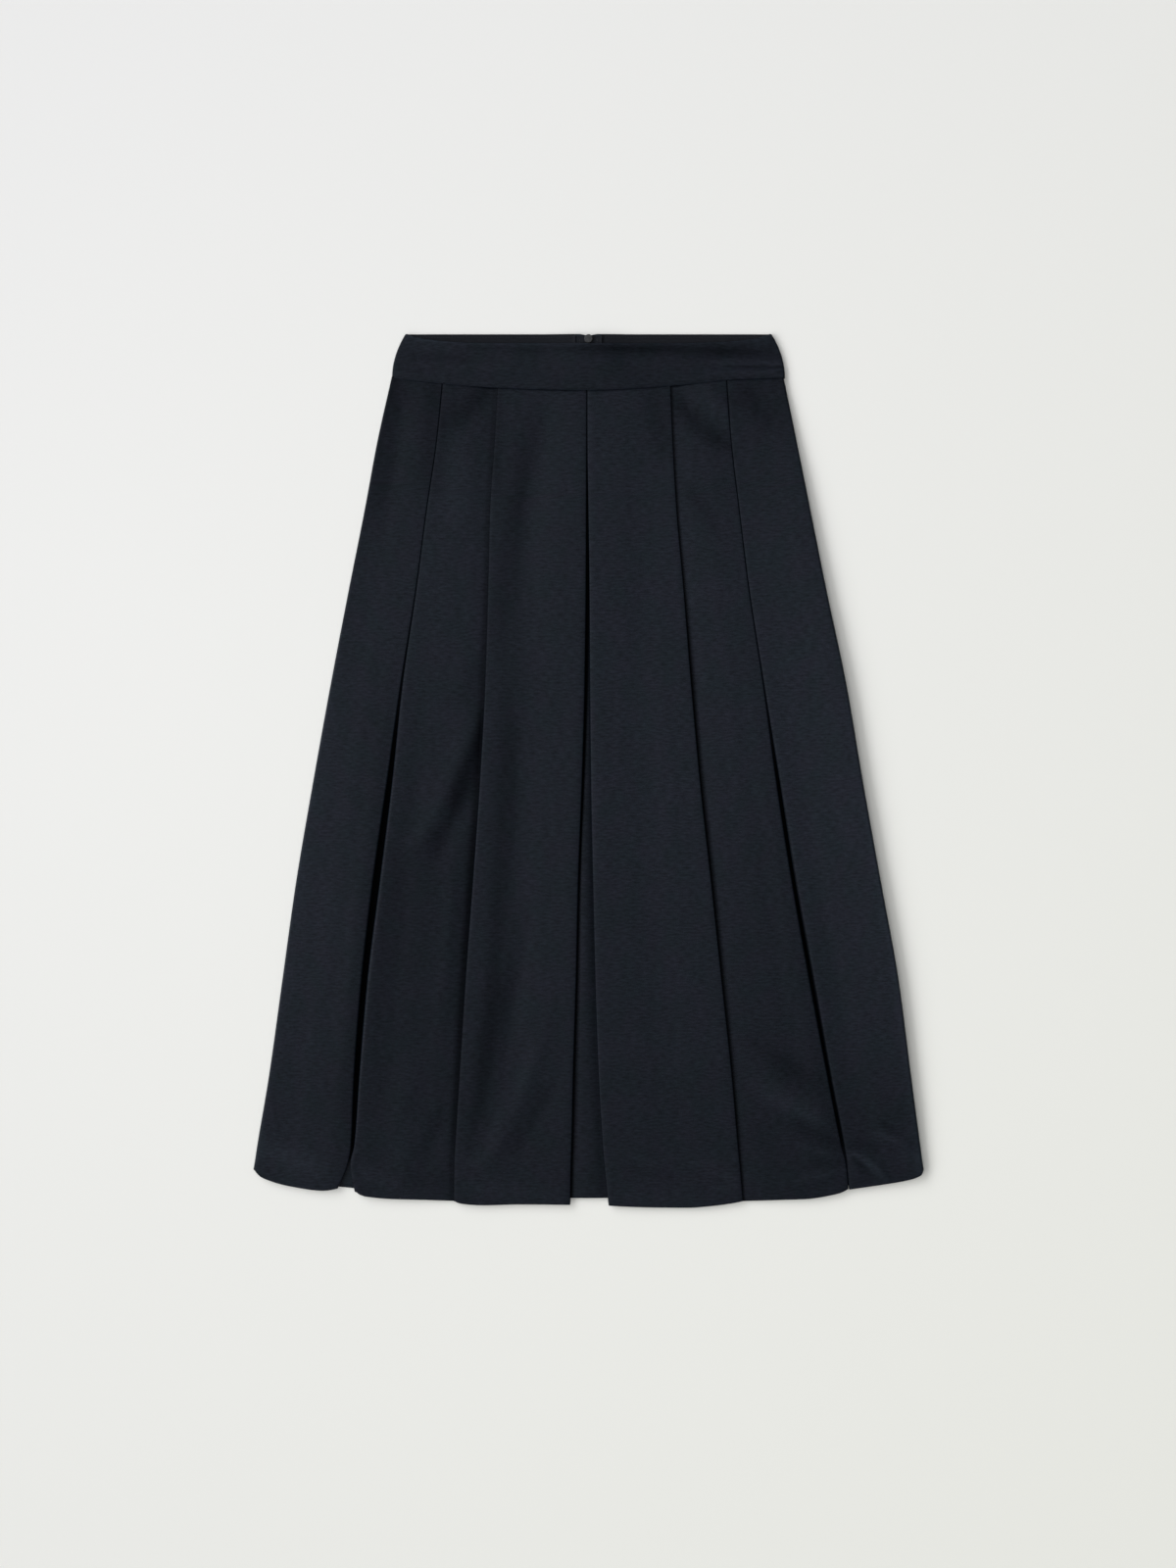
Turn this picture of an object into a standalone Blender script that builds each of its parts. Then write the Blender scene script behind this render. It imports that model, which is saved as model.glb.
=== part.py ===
"""A flared midi skirt with a pleated front, laid flat on its back with its front up.

Metres, +Z up, +Y towards the waist. The origin is under the middle of the skirt, on the surface
that it lies on. Sizes below are millimetres. "Down" is measured from the top of the waist towards
the hem, and "across" from the centre front, positive towards the right of the laid-out skirt.
"""

import math
from collections import namedtuple

import bmesh
import bpy

MM = 0.001

# The walls and how they lie on each other.
CLOTH = 1.2
TRIM_CLOTH = 1.0
SEAM_GAP = 0.3
LAYER = CLOTH + SEAM_GAP
BACK_Z = CLOTH / 2
UNDERLAY_Z = BACK_Z + LAYER
PANEL_Z = UNDERLAY_Z + 2 * LAYER
TRIM_Z = CLOTH + SEAM_GAP + TRIM_CLOTH / 2
BAND_Z = TRIM_Z + TRIM_CLOTH / 2 + SEAM_GAP + CLOTH / 2

# The whole skirt.
LENGTH = 801.9
BAND_HALF_TOP = 168.5
BAND_HALF_BOTTOM = 180.5
FRONT_DIP = 8.4
FRONT_DIP_POWER = 6
BACK_NOTCH = 3.0
PLEAT_DEPTH_WAIST = 16.0
PLEAT_DEPTH_HEM = 38.0

# Each edge that shows on the front, across, at levels down the skirt. An inverted pleat has two
# edges, "a" on the panel to its left and "b" on the panel to its right.
Level = namedtuple(
    "Level",
    "down left_side outer_left_a outer_left_b inner_left centre_a centre_b"
    " inner_right outer_right_a outer_right_b right_side",
)
LEVELS = (
    Level(45, -182.2, -134.4, -133.9, -83.3, -1.6, -1.1, 75.2, 127.0, 127.4, 180.5),
    Level(98, -194.0, -139.7, -139.3, -86.4, -1.8, -1.0, 77.4, 131.0, 131.4, 191.3),
    Level(161, -205.7, -148.9, -148.5, -90.5, -2.0, -0.1, 81.0, 138.4, 138.8, 203.9),
    Level(233, -220.0, -158.4, -157.9, -92.3, -2.3, 0.9, 87.4, 147.2, 147.7, 218.3),
    Level(323, -237.2, -172.6, -171.0, -95.0, -3.4, 1.4, 94.6, 160.9, 161.6, 237.2),
    Level(413, -253.4, -185.2, -180.5, -99.9, -5.9, 2.3, 102.8, 173.0, 176.4, 252.5),
    Level(503, -268.7, -197.9, -191.7, -106.2, -9.3, 4.1, 112.8, 186.6, 190.9, 268.7),
    Level(593, -281.3, -208.2, -203.0, -113.0, -11.3, 6.3, 122.4, 202.8, 206.8, 284.9),
    Level(683, -293.9, -215.2, -210.6, -118.8, -14.0, 9.5, 132.0, 219.7, 223.0, 296.6),
    Level(745, -304.4, -218.0, -215.2, -122.6, -15.4, 13.2, 137.4, 232.4, 234.5, 304.9),
    Level(762, -307.0, -221.0, -218.8, -123.5, -16.0, 14.6, 139.0, 236.7, 237.2, 307.2),
    Level(800, -314.9, -238.0, -212.0, -123.8, -16.7, 18.5, 142.2, 240.0, 240.5, 313.5),
)

# How far each panel's folded edge stands up from the flat layers, at levels down the skirt.
Rise = namedtuple("Rise", "down outer_left centre outer_right")
RISES = (
    Rise(45, 0.0, 0.0, 0.0),
    Rise(233, 0.3, 0.4, 0.2),
    Rise(413, 1.8, 0.9, 1.2),
    Rise(593, 2.4, 0.8, 1.8),
    Rise(745, 1.0, 0.5, 0.9),
    Rise(800, 0.6, 0.3, 0.8),
)

# How far the side seams stand up from the flat layers.
SideLift = namedtuple("SideLift", "down left_side right_side")
SIDE_LIFTS = (
    SideLift(45, 0.0, 0.0),
    SideLift(161, 0.3, 1.8),
    SideLift(323, 0.5, 2.6),
    SideLift(500, 0.7, 3.0),
    SideLift(680, 0.4, 2.4),
    SideLift(800, 0.0, 0.6),
)

# The zip tapes under the middle of the front lift it, down to their end.
Lift = namedtuple("Lift", "down over_zip")
LIFTS = (Lift(45, 1.3), Lift(233, 1.3), Lift(323, 0.0))
LIFT_FLAT = 30.0
LIFT_END = 62.0

# The line of each hem, as shares of the panel's width and the level down.
Hem = namedtuple("Hem", "share down")
PANEL_HEMS = {
    "panel_1": (Hem(0, 766.8), Hem(0.15, 775), Hem(0.46, 782.3), Hem(0.84, 786.2), Hem(1, 784.5)),
    "panel_2": (Hem(0, 787.5), Hem(0.1, 791.5), Hem(0.36, 793.8), Hem(0.7, 794.7), Hem(1, 795.8)),
    "panel_3": (Hem(0, 796), Hem(0.08, 798.3), Hem(0.25, 799.6), Hem(0.57, 798.8), Hem(1, 799.2)),
    "panel_4": (Hem(0, 800), Hem(0.28, 801.5), Hem(0.58, LENGTH), Hem(0.76, 800.3), Hem(1, 796)),
    "panel_5": (Hem(0, 796), Hem(0.37, 794.7), Hem(0.6, 793.8), Hem(0.83, 790), Hem(1, 785)),
    "panel_6": (Hem(0, 785), Hem(0.45, 782), Hem(0.84, 777), Hem(0.97, 771.3), Hem(1, 766.8)),
    "back": (Hem(0, 766.8), Hem(0.05, 773), Hem(0.15, 779), Hem(0.4, 786), Hem(1, 790.5)),
}
HIDDEN_HEMS = {
    "outer_left": 781,
    "inner_left": 794,
    "centre": 793,
    "inner_right": 794,
    "outer_right": 776,
}

# The seam between the waistband and the front, and the one between the waistband and the back.
SeamPoint = namedtuple("SeamPoint", "across down")
FRONT_SEAM = (
    SeamPoint(-BAND_HALF_BOTTOM, 38.7),
    SeamPoint(-134.5, 44.1),
    SeamPoint(-85.0, 48.6),
    SeamPoint(-1.4, 51.3),
    SeamPoint(75.0, 46.8),
    SeamPoint(126.5, 41.4),
    SeamPoint(BAND_HALF_BOTTOM, 39.5),
)
BACK_SEAM_SIDE = 39.5
BACK_SEAM_CENTRE = 48.0

# The six panels of the front: the edges on their left and right, the edges whose rise they share,
# the side on which they fall to the layer below, and where their lines lie between their edges.
Panel = namedtuple("Panel", "name left right left_rise right_rise falls shares")
PANELS = (
    Panel("panel_1", "left_side", "outer_left_a", None, "outer_left", None, (0.15, 0.46, 0.7, 0.84)),
    Panel(
        "panel_2", "outer_left_b", "inner_left", "outer_left", None, "right",
        (0.18, 0.36, 0.47, 0.6, 0.7, 0.8, 0.92),
    ),
    Panel(
        "panel_3", "inner_left", "centre_a", None, "centre", None,
        (0.13, 0.25, 0.45, 0.66, 0.8, 0.91),
    ),
    Panel(
        "panel_4", "centre_b", "inner_right", "centre", None, None,
        (0.09, 0.2, 0.36, 0.58, 0.76, 0.9),
    ),
    Panel(
        "panel_5", "inner_right", "outer_right_a", None, "outer_right", "left",
        (0.08, 0.2, 0.3, 0.4, 0.53, 0.64, 0.83),
    ),
    Panel(
        "panel_6", "outer_right_b", "right_side", "outer_right", None, None,
        (0.16, 0.3, 0.55, 0.84),
    ),
)
RISE_SHARE = 0.35
FALL_START = 0.47
FALL_SHARE = 0.45

# The largest soft folds: ridges on a straight line from one point to another.
Ridge = namedtuple("Ridge", "panel across_a down_a across_b down_b width height")
RIDGES = (
    Ridge("panel_2", -90, 335, -168, 500, 10, 1.6),
    Ridge("panel_5", 142, 655, 232, 735, 10, 1.5),
)
RIDGE_END = 0.28

# The levels of a skirt wall's rows between its seam and its hem.
ROW_LEVELS = (
    71, 98, 130, 161, 197, 233, 278, 323, 368, 413, 458, 503, 548, 593, 638, 683, 714, 745, 762,
)

# Folds and rolls turn at these angles, and a wall's normals are stretched no more than this.
FOLD_ANGLES = (90, 30, -30, -90)
ROLL_ANGLES = (90, 122, 152)
ROLL_SPLIT = SEAM_GAP / 2
LEAST_STRETCH = 0.8

# The back: its lines as shares of its width from the side, and the edge at its centre seam.
BACK_SHARES = (0.05, 0.15, 0.4, 0.7)
CENTRE_BACK = SEAM_GAP / 2

# The zip at the centre back. The back waistband rides up over its pull tab.
HUMP = 2.2
HUMP_FLAT = 8.0
HUMP_END = 45.0
HUMP_FULL_TO = 26.0
ZIP_LENGTH = 200.0
TAPE_INNER = 1.0
TAPE_OUTER = 12.0
FACING_INNER = TAPE_OUTER + SEAM_GAP
FACING_SIDE_GAP = 7.0
SLIDER_DOWN = 4.1
SLIDER_RADIUS = 4.0
SLIDER_THICK = 2.0
SLIDER_BEVEL = 0.6
NECK_HALF = 0.6
BRIDGE_TOP_DOWN = 2.2
BRIDGE_END_DOWN = 7.6
BRIDGE_POST = 1.2
BRIDGE_LOW_Z = 0.3
BRIDGE_BAR = 0.5
PULL_AXIS_DOWN = 4.9
PULL_AXIS_Z = 1.375
PULL_THICK = 0.7
PULL_HALF_WIDTH = 2.6
PULL_LENGTH = 19.0
PULL_HOLE_HALF = 0.95
PULL_HOLE_LENGTH = 3.4
SLIDER_SIDES = 24
SLIDER_BEVEL_STEPS = 3

# Where the lines and rows of the waistband, the facing and the tapes lie.
HUMP_SLOPE = (HUMP_FLAT, TAPE_OUTER, 20.0, 28.0, 36.0, HUMP_END)
FRONT_BAND_LEFT = (-134.5, -85.0)
FRONT_BAND_RIGHT = (75.0, 126.5)
BACK_BAND_ACROSS = (*HUMP_SLOPE, 100.0, 145.0)
FACING_ACROSS = (130.0, 90.0, *reversed(HUMP_SLOPE[2:]))
BAND_LEVELS = (15.0, HUMP_FULL_TO, 30.0, 34.5)
FACING_TOP = 0.6
TAPE_TOP = 2.0

SIDES = {"left": -1, "right": 1}


def between(rows, key, value, level):
    """The value of a table's column at a level, in a straight line between its rows."""
    low, high = rows[0], rows[1]
    for row in rows[1:]:
        high = row
        if level <= getattr(row, key):
            break
        low = row
    if low is high:
        low = rows[-2]
    span = getattr(high, key) - getattr(low, key)
    share = (level - getattr(low, key)) / span
    if level < getattr(rows[0], key):
        share = max(share, -1.0)
    return getattr(low, value) + share * (getattr(high, value) - getattr(low, value))


def clamp(value):
    return min(max(value, 0.0), 1.0)


def smooth(value):
    share = clamp(value)
    return share * share * (3 - 2 * share)


def edge(name, down):
    return between(LEVELS, "down", name, down)


def rise(name, down):
    return max(between(RISES, "down", name, down), 0.0)


def side_lift(name, down):
    return max(between(SIDE_LIFTS, "down", name, down), 0.0)


def over_zip(across, down):
    """How far the front is lifted by the zip tapes under it."""
    amount = clamp(between(LIFTS, "down", "over_zip", down) / LIFTS[0].over_zip)
    return LIFTS[0].over_zip * amount * clamp((LIFT_END - abs(across)) / (LIFT_END - LIFT_FLAT))


def pull_hump(across, down):
    """How far the waistband is lifted by the pull tab under it."""
    along = clamp((BACK_SEAM_CENTRE - down) / (BACK_SEAM_CENTRE - HUMP_FULL_TO))
    return HUMP * along * clamp((HUMP_END - abs(across)) / (HUMP_END - HUMP_FLAT))


def pleat_depth(down):
    share = (down - LEVELS[0].down) / (LENGTH - LEVELS[0].down)
    return PLEAT_DEPTH_WAIST + share * (PLEAT_DEPTH_HEM - PLEAT_DEPTH_WAIST)


def hem_at(panel, share):
    return between(PANEL_HEMS[panel], "share", "down", share)


def front_seam(across):
    inside = min(max(across, -BAND_HALF_BOTTOM), BAND_HALF_BOTTOM)
    return between(FRONT_SEAM, "across", "down", inside)


def back_seam(across):
    share = abs(across) / BAND_HALF_BOTTOM
    return BACK_SEAM_CENTRE + share * (BACK_SEAM_SIDE - BACK_SEAM_CENTRE)


class Station:
    """One line that runs down a wall: its place across and its height at a level, and its hem."""

    def __init__(self, across, height, hem):
        self.across = across
        self.height = height
        self.hem = hem

    def at(self, down):
        across = self.across(down)
        return across, self.height(down) + over_zip(across, down)


def fold(edge_of, outward, upper, lower, hem):
    """The stations round a fold whose outside reaches edge_of, from its upper to its lower layer."""
    stations = []
    for angle in FOLD_ANGLES:
        turn = math.radians(angle)

        def across(down, turn=turn):
            radius = (upper(down) - lower(down)) / 2
            centre = edge_of(down) - outward * (CLOTH / 2 + radius)
            return centre + outward * radius * math.cos(turn)

        def height(down, turn=turn):
            middle = (upper(down) + lower(down)) / 2
            return middle + (upper(down) - lower(down)) / 2 * math.sin(turn)

        stations.append(Station(across, height, hem))
    return stations


def layer_height(layer, lift_name=None):
    """The height of a pleat's layer: 0 is the underlay, 1 the return and 2 the panel."""
    return lambda down: (
        UNDERLAY_Z + layer * LAYER + (rise(lift_name, down) if lift_name else 0.0)
    )


def inverted_pleat(name, hem_a, hem_b):
    """Two folded edges that meet over an underlay, from the left panel's edge to the right one's."""
    hidden = HIDDEN_HEMS[name]
    panel = layer_height(2, name)
    back_a = layer_height(1)
    underlay = layer_height(0)
    left_edge = lambda down: edge(name + "_a", down)
    right_edge = lambda down: edge(name + "_b", down)
    left_end = lambda down: left_edge(down) - pleat_depth(down)
    right_end = lambda down: right_edge(down) + pleat_depth(down)
    middle = lambda down: (left_edge(down) + right_edge(down)) / 2
    stations = fold(left_edge, 1, panel, back_a, hem_a)
    stations += fold(left_end, -1, back_a, underlay, hidden)
    stations.append(Station(middle, underlay, hidden))
    stations += reversed(fold(right_end, 1, back_a, underlay, hidden))
    stations += reversed(fold(right_edge, -1, panel, back_a, hem_b))
    return stations


def knife_pleat_right(name, hem):
    """The left neighbour runs on under the panel to the right, and folds back to its edge."""
    hidden = HIDDEN_HEMS[name]
    panel_edge = lambda down: edge(name, down)
    under_end = lambda down: edge(name, down) + pleat_depth(down)
    stations = [Station(panel_edge, layer_height(0), hem)]
    stations += reversed(fold(under_end, 1, layer_height(1), layer_height(0), hidden))
    stations += reversed(fold(panel_edge, -1, layer_height(2), layer_height(1), hem))
    return stations


def knife_pleat_left(name, hem):
    """The panel to the left folds under at its edge, and runs on to the right below it."""
    hidden = HIDDEN_HEMS[name]
    panel_edge = lambda down: edge(name, down)
    under_end = lambda down: edge(name, down) - pleat_depth(down)
    stations = fold(panel_edge, 1, layer_height(2), layer_height(1), hem)
    stations += fold(under_end, -1, layer_height(1), layer_height(0), hidden)
    stations.append(Station(panel_edge, layer_height(0), hem))
    return stations


def ridge_height(panel, across, down):
    """What the largest soft folds add to a panel's height at a point."""
    total = 0.0
    for ridge in RIDGES:
        if ridge.panel != panel:
            continue
        along_x = ridge.across_b - ridge.across_a
        along_y = ridge.down_b - ridge.down_a
        length = math.hypot(along_x, along_y)
        from_x, from_y = across - ridge.across_a, down - ridge.down_a
        share = (from_x * along_x + from_y * along_y) / (length * length)
        aside = (from_x * along_y - from_y * along_x) / length
        ends = smooth(share / RIDGE_END) * smooth((1 - share) / RIDGE_END)
        total += ridge.height * ends * math.exp(-((aside / ridge.width) ** 2))
    return total


def panel_height(panel, share, across, down):
    """The height of a panel's middle: level or falling, and raised at its folds and side seam."""
    height = PANEL_Z + ridge_height(panel.name, across, down)
    for name, rise_name, towards in (
        (panel.left, panel.left_rise, 1 - share),
        (panel.right, panel.right_rise, share),
    ):
        if rise_name:
            height += rise(rise_name, down) * smooth(1 - (1 - towards) / RISE_SHARE)
        if name.endswith("_side"):
            height += side_lift(name, down) * smooth(towards)
    if panel.falls:
        along = share if panel.falls == "right" else 1 - share
        height -= 2 * LAYER * smooth((along - FALL_START) / FALL_SHARE)
    return height


def panel_stations(panel):
    """The stations of a panel that shows, between its edges."""
    stations = []
    for share in panel.shares:

        def across(down, share=share):
            left, right = edge(panel.left, down), edge(panel.right, down)
            return left + share * (right - left)

        def height(down, share=share, across=across):
            return panel_height(panel, share, across(down), down)

        stations.append(Station(across, height, hem_at(panel.name, share)))
    return stations


def side_roll(outer, side, upper, lower, hem, upper_half):
    """The rounded side edge, from the top or the underside to the seam half way up it."""
    stations = []
    for angle in ROLL_ANGLES:
        turn = math.radians(angle if upper_half else -angle)

        def across(down, turn=turn):
            radius = (upper(down) - lower(down)) / 2
            return outer(down) - side * (CLOTH / 2 + radius * (1 - abs(math.cos(turn))))

        def height(down, turn=turn):
            return (upper(down) + lower(down)) / 2 + (upper(down) - lower(down)) / 2 * math.sin(turn)

        stations.append(Station(across, height, hem))
    end = ROLL_SPLIT if upper_half else -ROLL_SPLIT
    stations.append(
        Station(
            lambda down: outer(down) - side * CLOTH / 2,
            lambda down: (upper(down) + lower(down)) / 2 + end,
            hem,
        )
    )
    return stations


def side_level(name):
    """The level of the front at a side seam."""
    return lambda down: PANEL_Z + side_lift(name, down)


def front_stations():
    one, two, three, four, five, six = PANELS
    under = lambda down: BACK_Z
    left_outer = lambda down: edge("left_side", down)
    right_outer = lambda down: edge("right_side", down)
    left_level, right_level = side_level("left_side"), side_level("right_side")
    left_hem, right_hem = hem_at("panel_1", 0), hem_at("panel_6", 1)
    stations = list(reversed(side_roll(left_outer, -1, left_level, under, left_hem, True)))
    stations += panel_stations(one)
    stations += inverted_pleat("outer_left", hem_at("panel_1", 1), hem_at("panel_2", 0))
    stations += panel_stations(two)
    stations += knife_pleat_right("inner_left", hem_at("panel_3", 0))
    stations += panel_stations(three)
    stations += inverted_pleat("centre", hem_at("panel_3", 1), hem_at("panel_4", 0))
    stations += panel_stations(four)
    stations += knife_pleat_left("inner_right", hem_at("panel_4", 1))
    stations += panel_stations(five)
    stations += inverted_pleat("outer_right", hem_at("panel_5", 1), hem_at("panel_6", 0))
    stations += panel_stations(six)
    stations += side_roll(right_outer, 1, right_level, under, right_hem, True)
    return stations


def skirt_rows(stations, seam):
    """Points (across, down, height) of a skirt wall's middle, one row for each level."""
    start = LEVELS[0].down
    rows = [[(x, seam(x) + SEAM_GAP / 2, z) for x, z in (s.at(start) for s in stations)]]
    for down in ROW_LEVELS:
        rows.append([(x, down, z) for x, z in (s.at(down) for s in stations)])
    rows.append([(x, s.hem, z) for s, (x, z) in ((s, s.at(s.hem)) for s in stations)])
    return rows


def side_normals(row, first, last):
    """Unit normals in the plane of a row, each long enough to keep the wall's thickness."""
    normals = []
    count = len(row)
    for index in range(count):
        before = row[max(index - 1, 0)]
        here = row[index]
        after = row[min(index + 1, count - 1)]
        arrive = unit(here[0] - before[0], here[2] - before[2])
        leave = unit(after[0] - here[0], after[2] - here[2])
        if index == 0:
            arrive = leave
        if index == count - 1:
            leave = arrive
        along = unit(arrive[0] + leave[0], arrive[1] + leave[1])
        stretch = 1 / max(along[0] * leave[0] + along[1] * leave[1], LEAST_STRETCH)
        normals.append((-along[1] * stretch, along[0] * stretch))
    if first:
        normals[0] = first
    if last:
        normals[-1] = last
    return normals


def unit(x, z):
    length = math.hypot(x, z) or 1.0
    return x / length, z / length


def wall(name, rows, thickness, material, first=None, last=None):
    """A closed wall round the rows of its middle, with its rims."""
    mesh = bmesh.new()
    sides = []
    for half in (thickness / 2, -thickness / 2):
        grid = []
        for row in rows:
            normals = side_normals(row, first, last)
            grid.append(
                [
                    mesh.verts.new(
                        ((x + nx * half) * MM, (LENGTH / 2 - down) * MM, (z + nz * half) * MM)
                    )
                    for (x, down, z), (nx, nz) in zip(row, normals)
                ]
            )
        sides.append(grid)
    above, below = sides
    last_row = len(rows) - 1
    last_column = len(rows[0]) - 1
    for i in range(last_row):
        for j in range(last_column):
            mesh.faces.new((above[i][j], above[i + 1][j], above[i + 1][j + 1], above[i][j + 1]))
            mesh.faces.new((below[i][j], below[i][j + 1], below[i + 1][j + 1], below[i + 1][j]))
    for i in range(last_row):
        for j in (0, last_column):
            mesh.faces.new((above[i][j], below[i][j], below[i + 1][j], above[i + 1][j]))
    for j in range(last_column):
        for i in (0, last_row):
            mesh.faces.new((above[i][j], above[i][j + 1], below[i][j + 1], below[i][j]))
    bmesh.ops.triangulate(mesh, faces=mesh.faces[:])
    bmesh.ops.recalc_face_normals(mesh, faces=mesh.faces[:])
    return add_object(name, mesh, material)


def add_object(name, mesh, material):
    data = bpy.data.meshes.new(name)
    mesh.to_mesh(data)
    mesh.free()
    data.materials.append(material)
    item = bpy.data.objects.new(name, data)
    bpy.context.scene.collection.objects.link(item)
    return item


def principled(name, color, roughness, metallic):
    material = bpy.data.materials.new(name)
    material.use_nodes = True
    shader = material.node_tree.nodes["Principled BSDF"]
    shader.inputs["Base Color"].default_value = (*color, 1.0)
    shader.inputs["Roughness"].default_value = roughness
    shader.inputs["Metallic"].default_value = metallic
    return material


def front_skirt(material):
    rows = skirt_rows(front_stations(), front_seam)
    wall("front_skirt", rows, CLOTH, material, (-1, 0), (1, 0))


def back_skirt(side_name, material):
    """One half of the back, flat on its underside, from its side roll to the centre back seam."""
    side = SIDES[side_name]
    outer = lambda down: edge(side_name + "_side", down)
    level = side_level(side_name + "_side")
    under = lambda down: BACK_Z
    stations = list(reversed(side_roll(outer, side, level, under, hem_at("back", 0), False)))
    for share in BACK_SHARES:
        across = lambda down, share=share: outer(down) * (1 - share)
        stations.append(Station(across, under, hem_at("back", share)))
    stations.append(Station(lambda down: side * CENTRE_BACK, under, hem_at("back", 1)))
    rows = skirt_rows(stations, back_seam)
    flat_rows = [[(x, down, z - over_zip(x, down)) for x, down, z in row] for row in rows]
    wall("back_skirt_" + side_name, flat_rows, CLOTH, material, (1, 0))


def band_half_width(down):
    """The waistband's sides curve out from its top to its seam."""
    share = clamp(down / BACK_SEAM_SIDE)
    return BAND_HALF_TOP + (BAND_HALF_BOTTOM - BAND_HALF_TOP) * (1 - (1 - share) ** 2)


def front_top(across):
    return FRONT_DIP * (1 - clamp(abs(across) / BAND_HALF_TOP) ** FRONT_DIP_POWER)


def band_roll(level, side, top, upper_half):
    """The waistband's rounded side edge, from its side seam inwards, as (across, down, height)."""
    outer_down = level(side * BAND_HALF_BOTTOM)
    outer = band_half_width(outer_down)
    radius = (top - BACK_Z) / 2
    middle = (top + BACK_Z) / 2
    turned = 1 if upper_half else -1
    points = [(side * (outer - CLOTH / 2), outer_down, middle + turned * ROLL_SPLIT)]
    for angle in reversed(ROLL_ANGLES):
        turn = math.radians(angle)
        across = side * (outer - CLOTH / 2 - radius * (1 - abs(math.cos(turn))))
        points.append((across, level(across), middle + turned * radius * math.sin(turn)))
    return points


def front_band_row(level, share_down):
    """A row of the front waistband: level is its place down, as a function of across."""
    flat = BAND_Z + share_down * (PANEL_Z - BAND_Z)
    row = band_roll(level, -1, flat, True)
    middle = [-across for across in reversed(HUMP_SLOPE)] + list(HUMP_SLOPE)
    for across in (*FRONT_BAND_LEFT, *middle, *FRONT_BAND_RIGHT):
        down = level(across)
        lifted = pull_hump(across, down) + share_down * over_zip(across, LEVELS[0].down)
        row.append((across, down, flat + lifted))
    return row + list(reversed(band_roll(level, 1, flat, True)))


def front_waistband(material):
    rows = [front_band_row(front_top, 0.0)]
    for level in BAND_LEVELS:
        rows.append(front_band_row(lambda x, level=level: level, 0.0))
    rows.append(front_band_row(lambda x: front_seam(x) - SEAM_GAP / 2, 1.0))
    wall("front_waistband", rows, CLOTH, material, (-1, 0), (1, 0))


def back_top(across):
    return BACK_NOTCH * clamp(1 - (abs(across) - TAPE_INNER) / TAPE_OUTER)


def centre_edge(down):
    """The zip opening is a little wider beside the slider's neck."""
    closed = clamp((down - BRIDGE_END_DOWN) / BRIDGE_END_DOWN)
    return TAPE_INNER - (TAPE_INNER - CENTRE_BACK) * closed


def back_waistband(side_name, material):
    side = SIDES[side_name]
    rows = []
    levels = [(back_top, 0.0)]
    levels += [(lambda x, level=level: level, 0.0) for level in BAND_LEVELS]
    levels.append((lambda x: back_seam(x) - SEAM_GAP / 2, 1.0))
    for level, share_down in levels:
        row = band_roll(level, side, BAND_Z + share_down * (PANEL_Z - BAND_Z), False)
        inner = centre_edge(level(0))
        for across in (*reversed(BACK_BAND_ACROSS), inner):
            down = level(across)
            row.append((side * across, down, BACK_Z + pull_hump(across, down)))
        rows.append(row)
    wall("back_waistband_" + side_name, rows, CLOTH, material, (1, 0))


def back_facing(side_name, material):
    """The inside layer of the back waistband, which shows above the front's top edge."""
    side = SIDES[side_name]
    rows = []
    for down in (FACING_TOP, *BAND_LEVELS, BACK_SEAM_SIDE - SEAM_GAP):
        outer = band_half_width(down) - FACING_SIDE_GAP
        across = (outer, *FACING_ACROSS, FACING_INNER)
        rows.append([(side * x, down, TRIM_Z + pull_hump(x, down)) for x in across])
    wall("back_facing_" + side_name, rows, TRIM_CLOTH, material)


def zip_tape(side_name, material):
    side = SIDES[side_name]
    rows = []
    below_band = (BACK_SEAM_CENTRE, LEVELS[1].down, LEVELS[2].down, ZIP_LENGTH)
    for down in (TAPE_TOP, *BAND_LEVELS, *below_band):
        across = (TAPE_OUTER, HUMP_FLAT, TAPE_INNER)
        rows.append([(side * x, down, TRIM_Z + pull_hump(x, down)) for x in across])
    wall("zip_tape_" + side_name, rows, TRIM_CLOTH, material)


def box_part(name, low, high):
    """A box from its low corner to its high one, given across, down and height."""
    mesh = bmesh.new()
    bmesh.ops.create_cube(mesh, size=1.0)
    for vert in mesh.verts:
        x, y, z = (low[i] + (vert.co[i] + 0.5) * (high[i] - low[i]) for i in range(3))
        vert.co = (x * MM, (LENGTH / 2 - y) * MM, z * MM)
    bmesh.ops.recalc_face_normals(mesh, faces=mesh.faces[:])
    data = bpy.data.meshes.new(name)
    mesh.to_mesh(data)
    mesh.free()
    item = bpy.data.objects.new(name, data)
    bpy.context.scene.collection.objects.link(item)
    return item


def as_helper(item):
    item.hide_render = True
    item.display_type = "WIRE"
    return item


def combine(item, other, operation):
    modifier = item.modifiers.new(other.name, "BOOLEAN")
    modifier.operation = operation
    modifier.object = as_helper(other)


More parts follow.
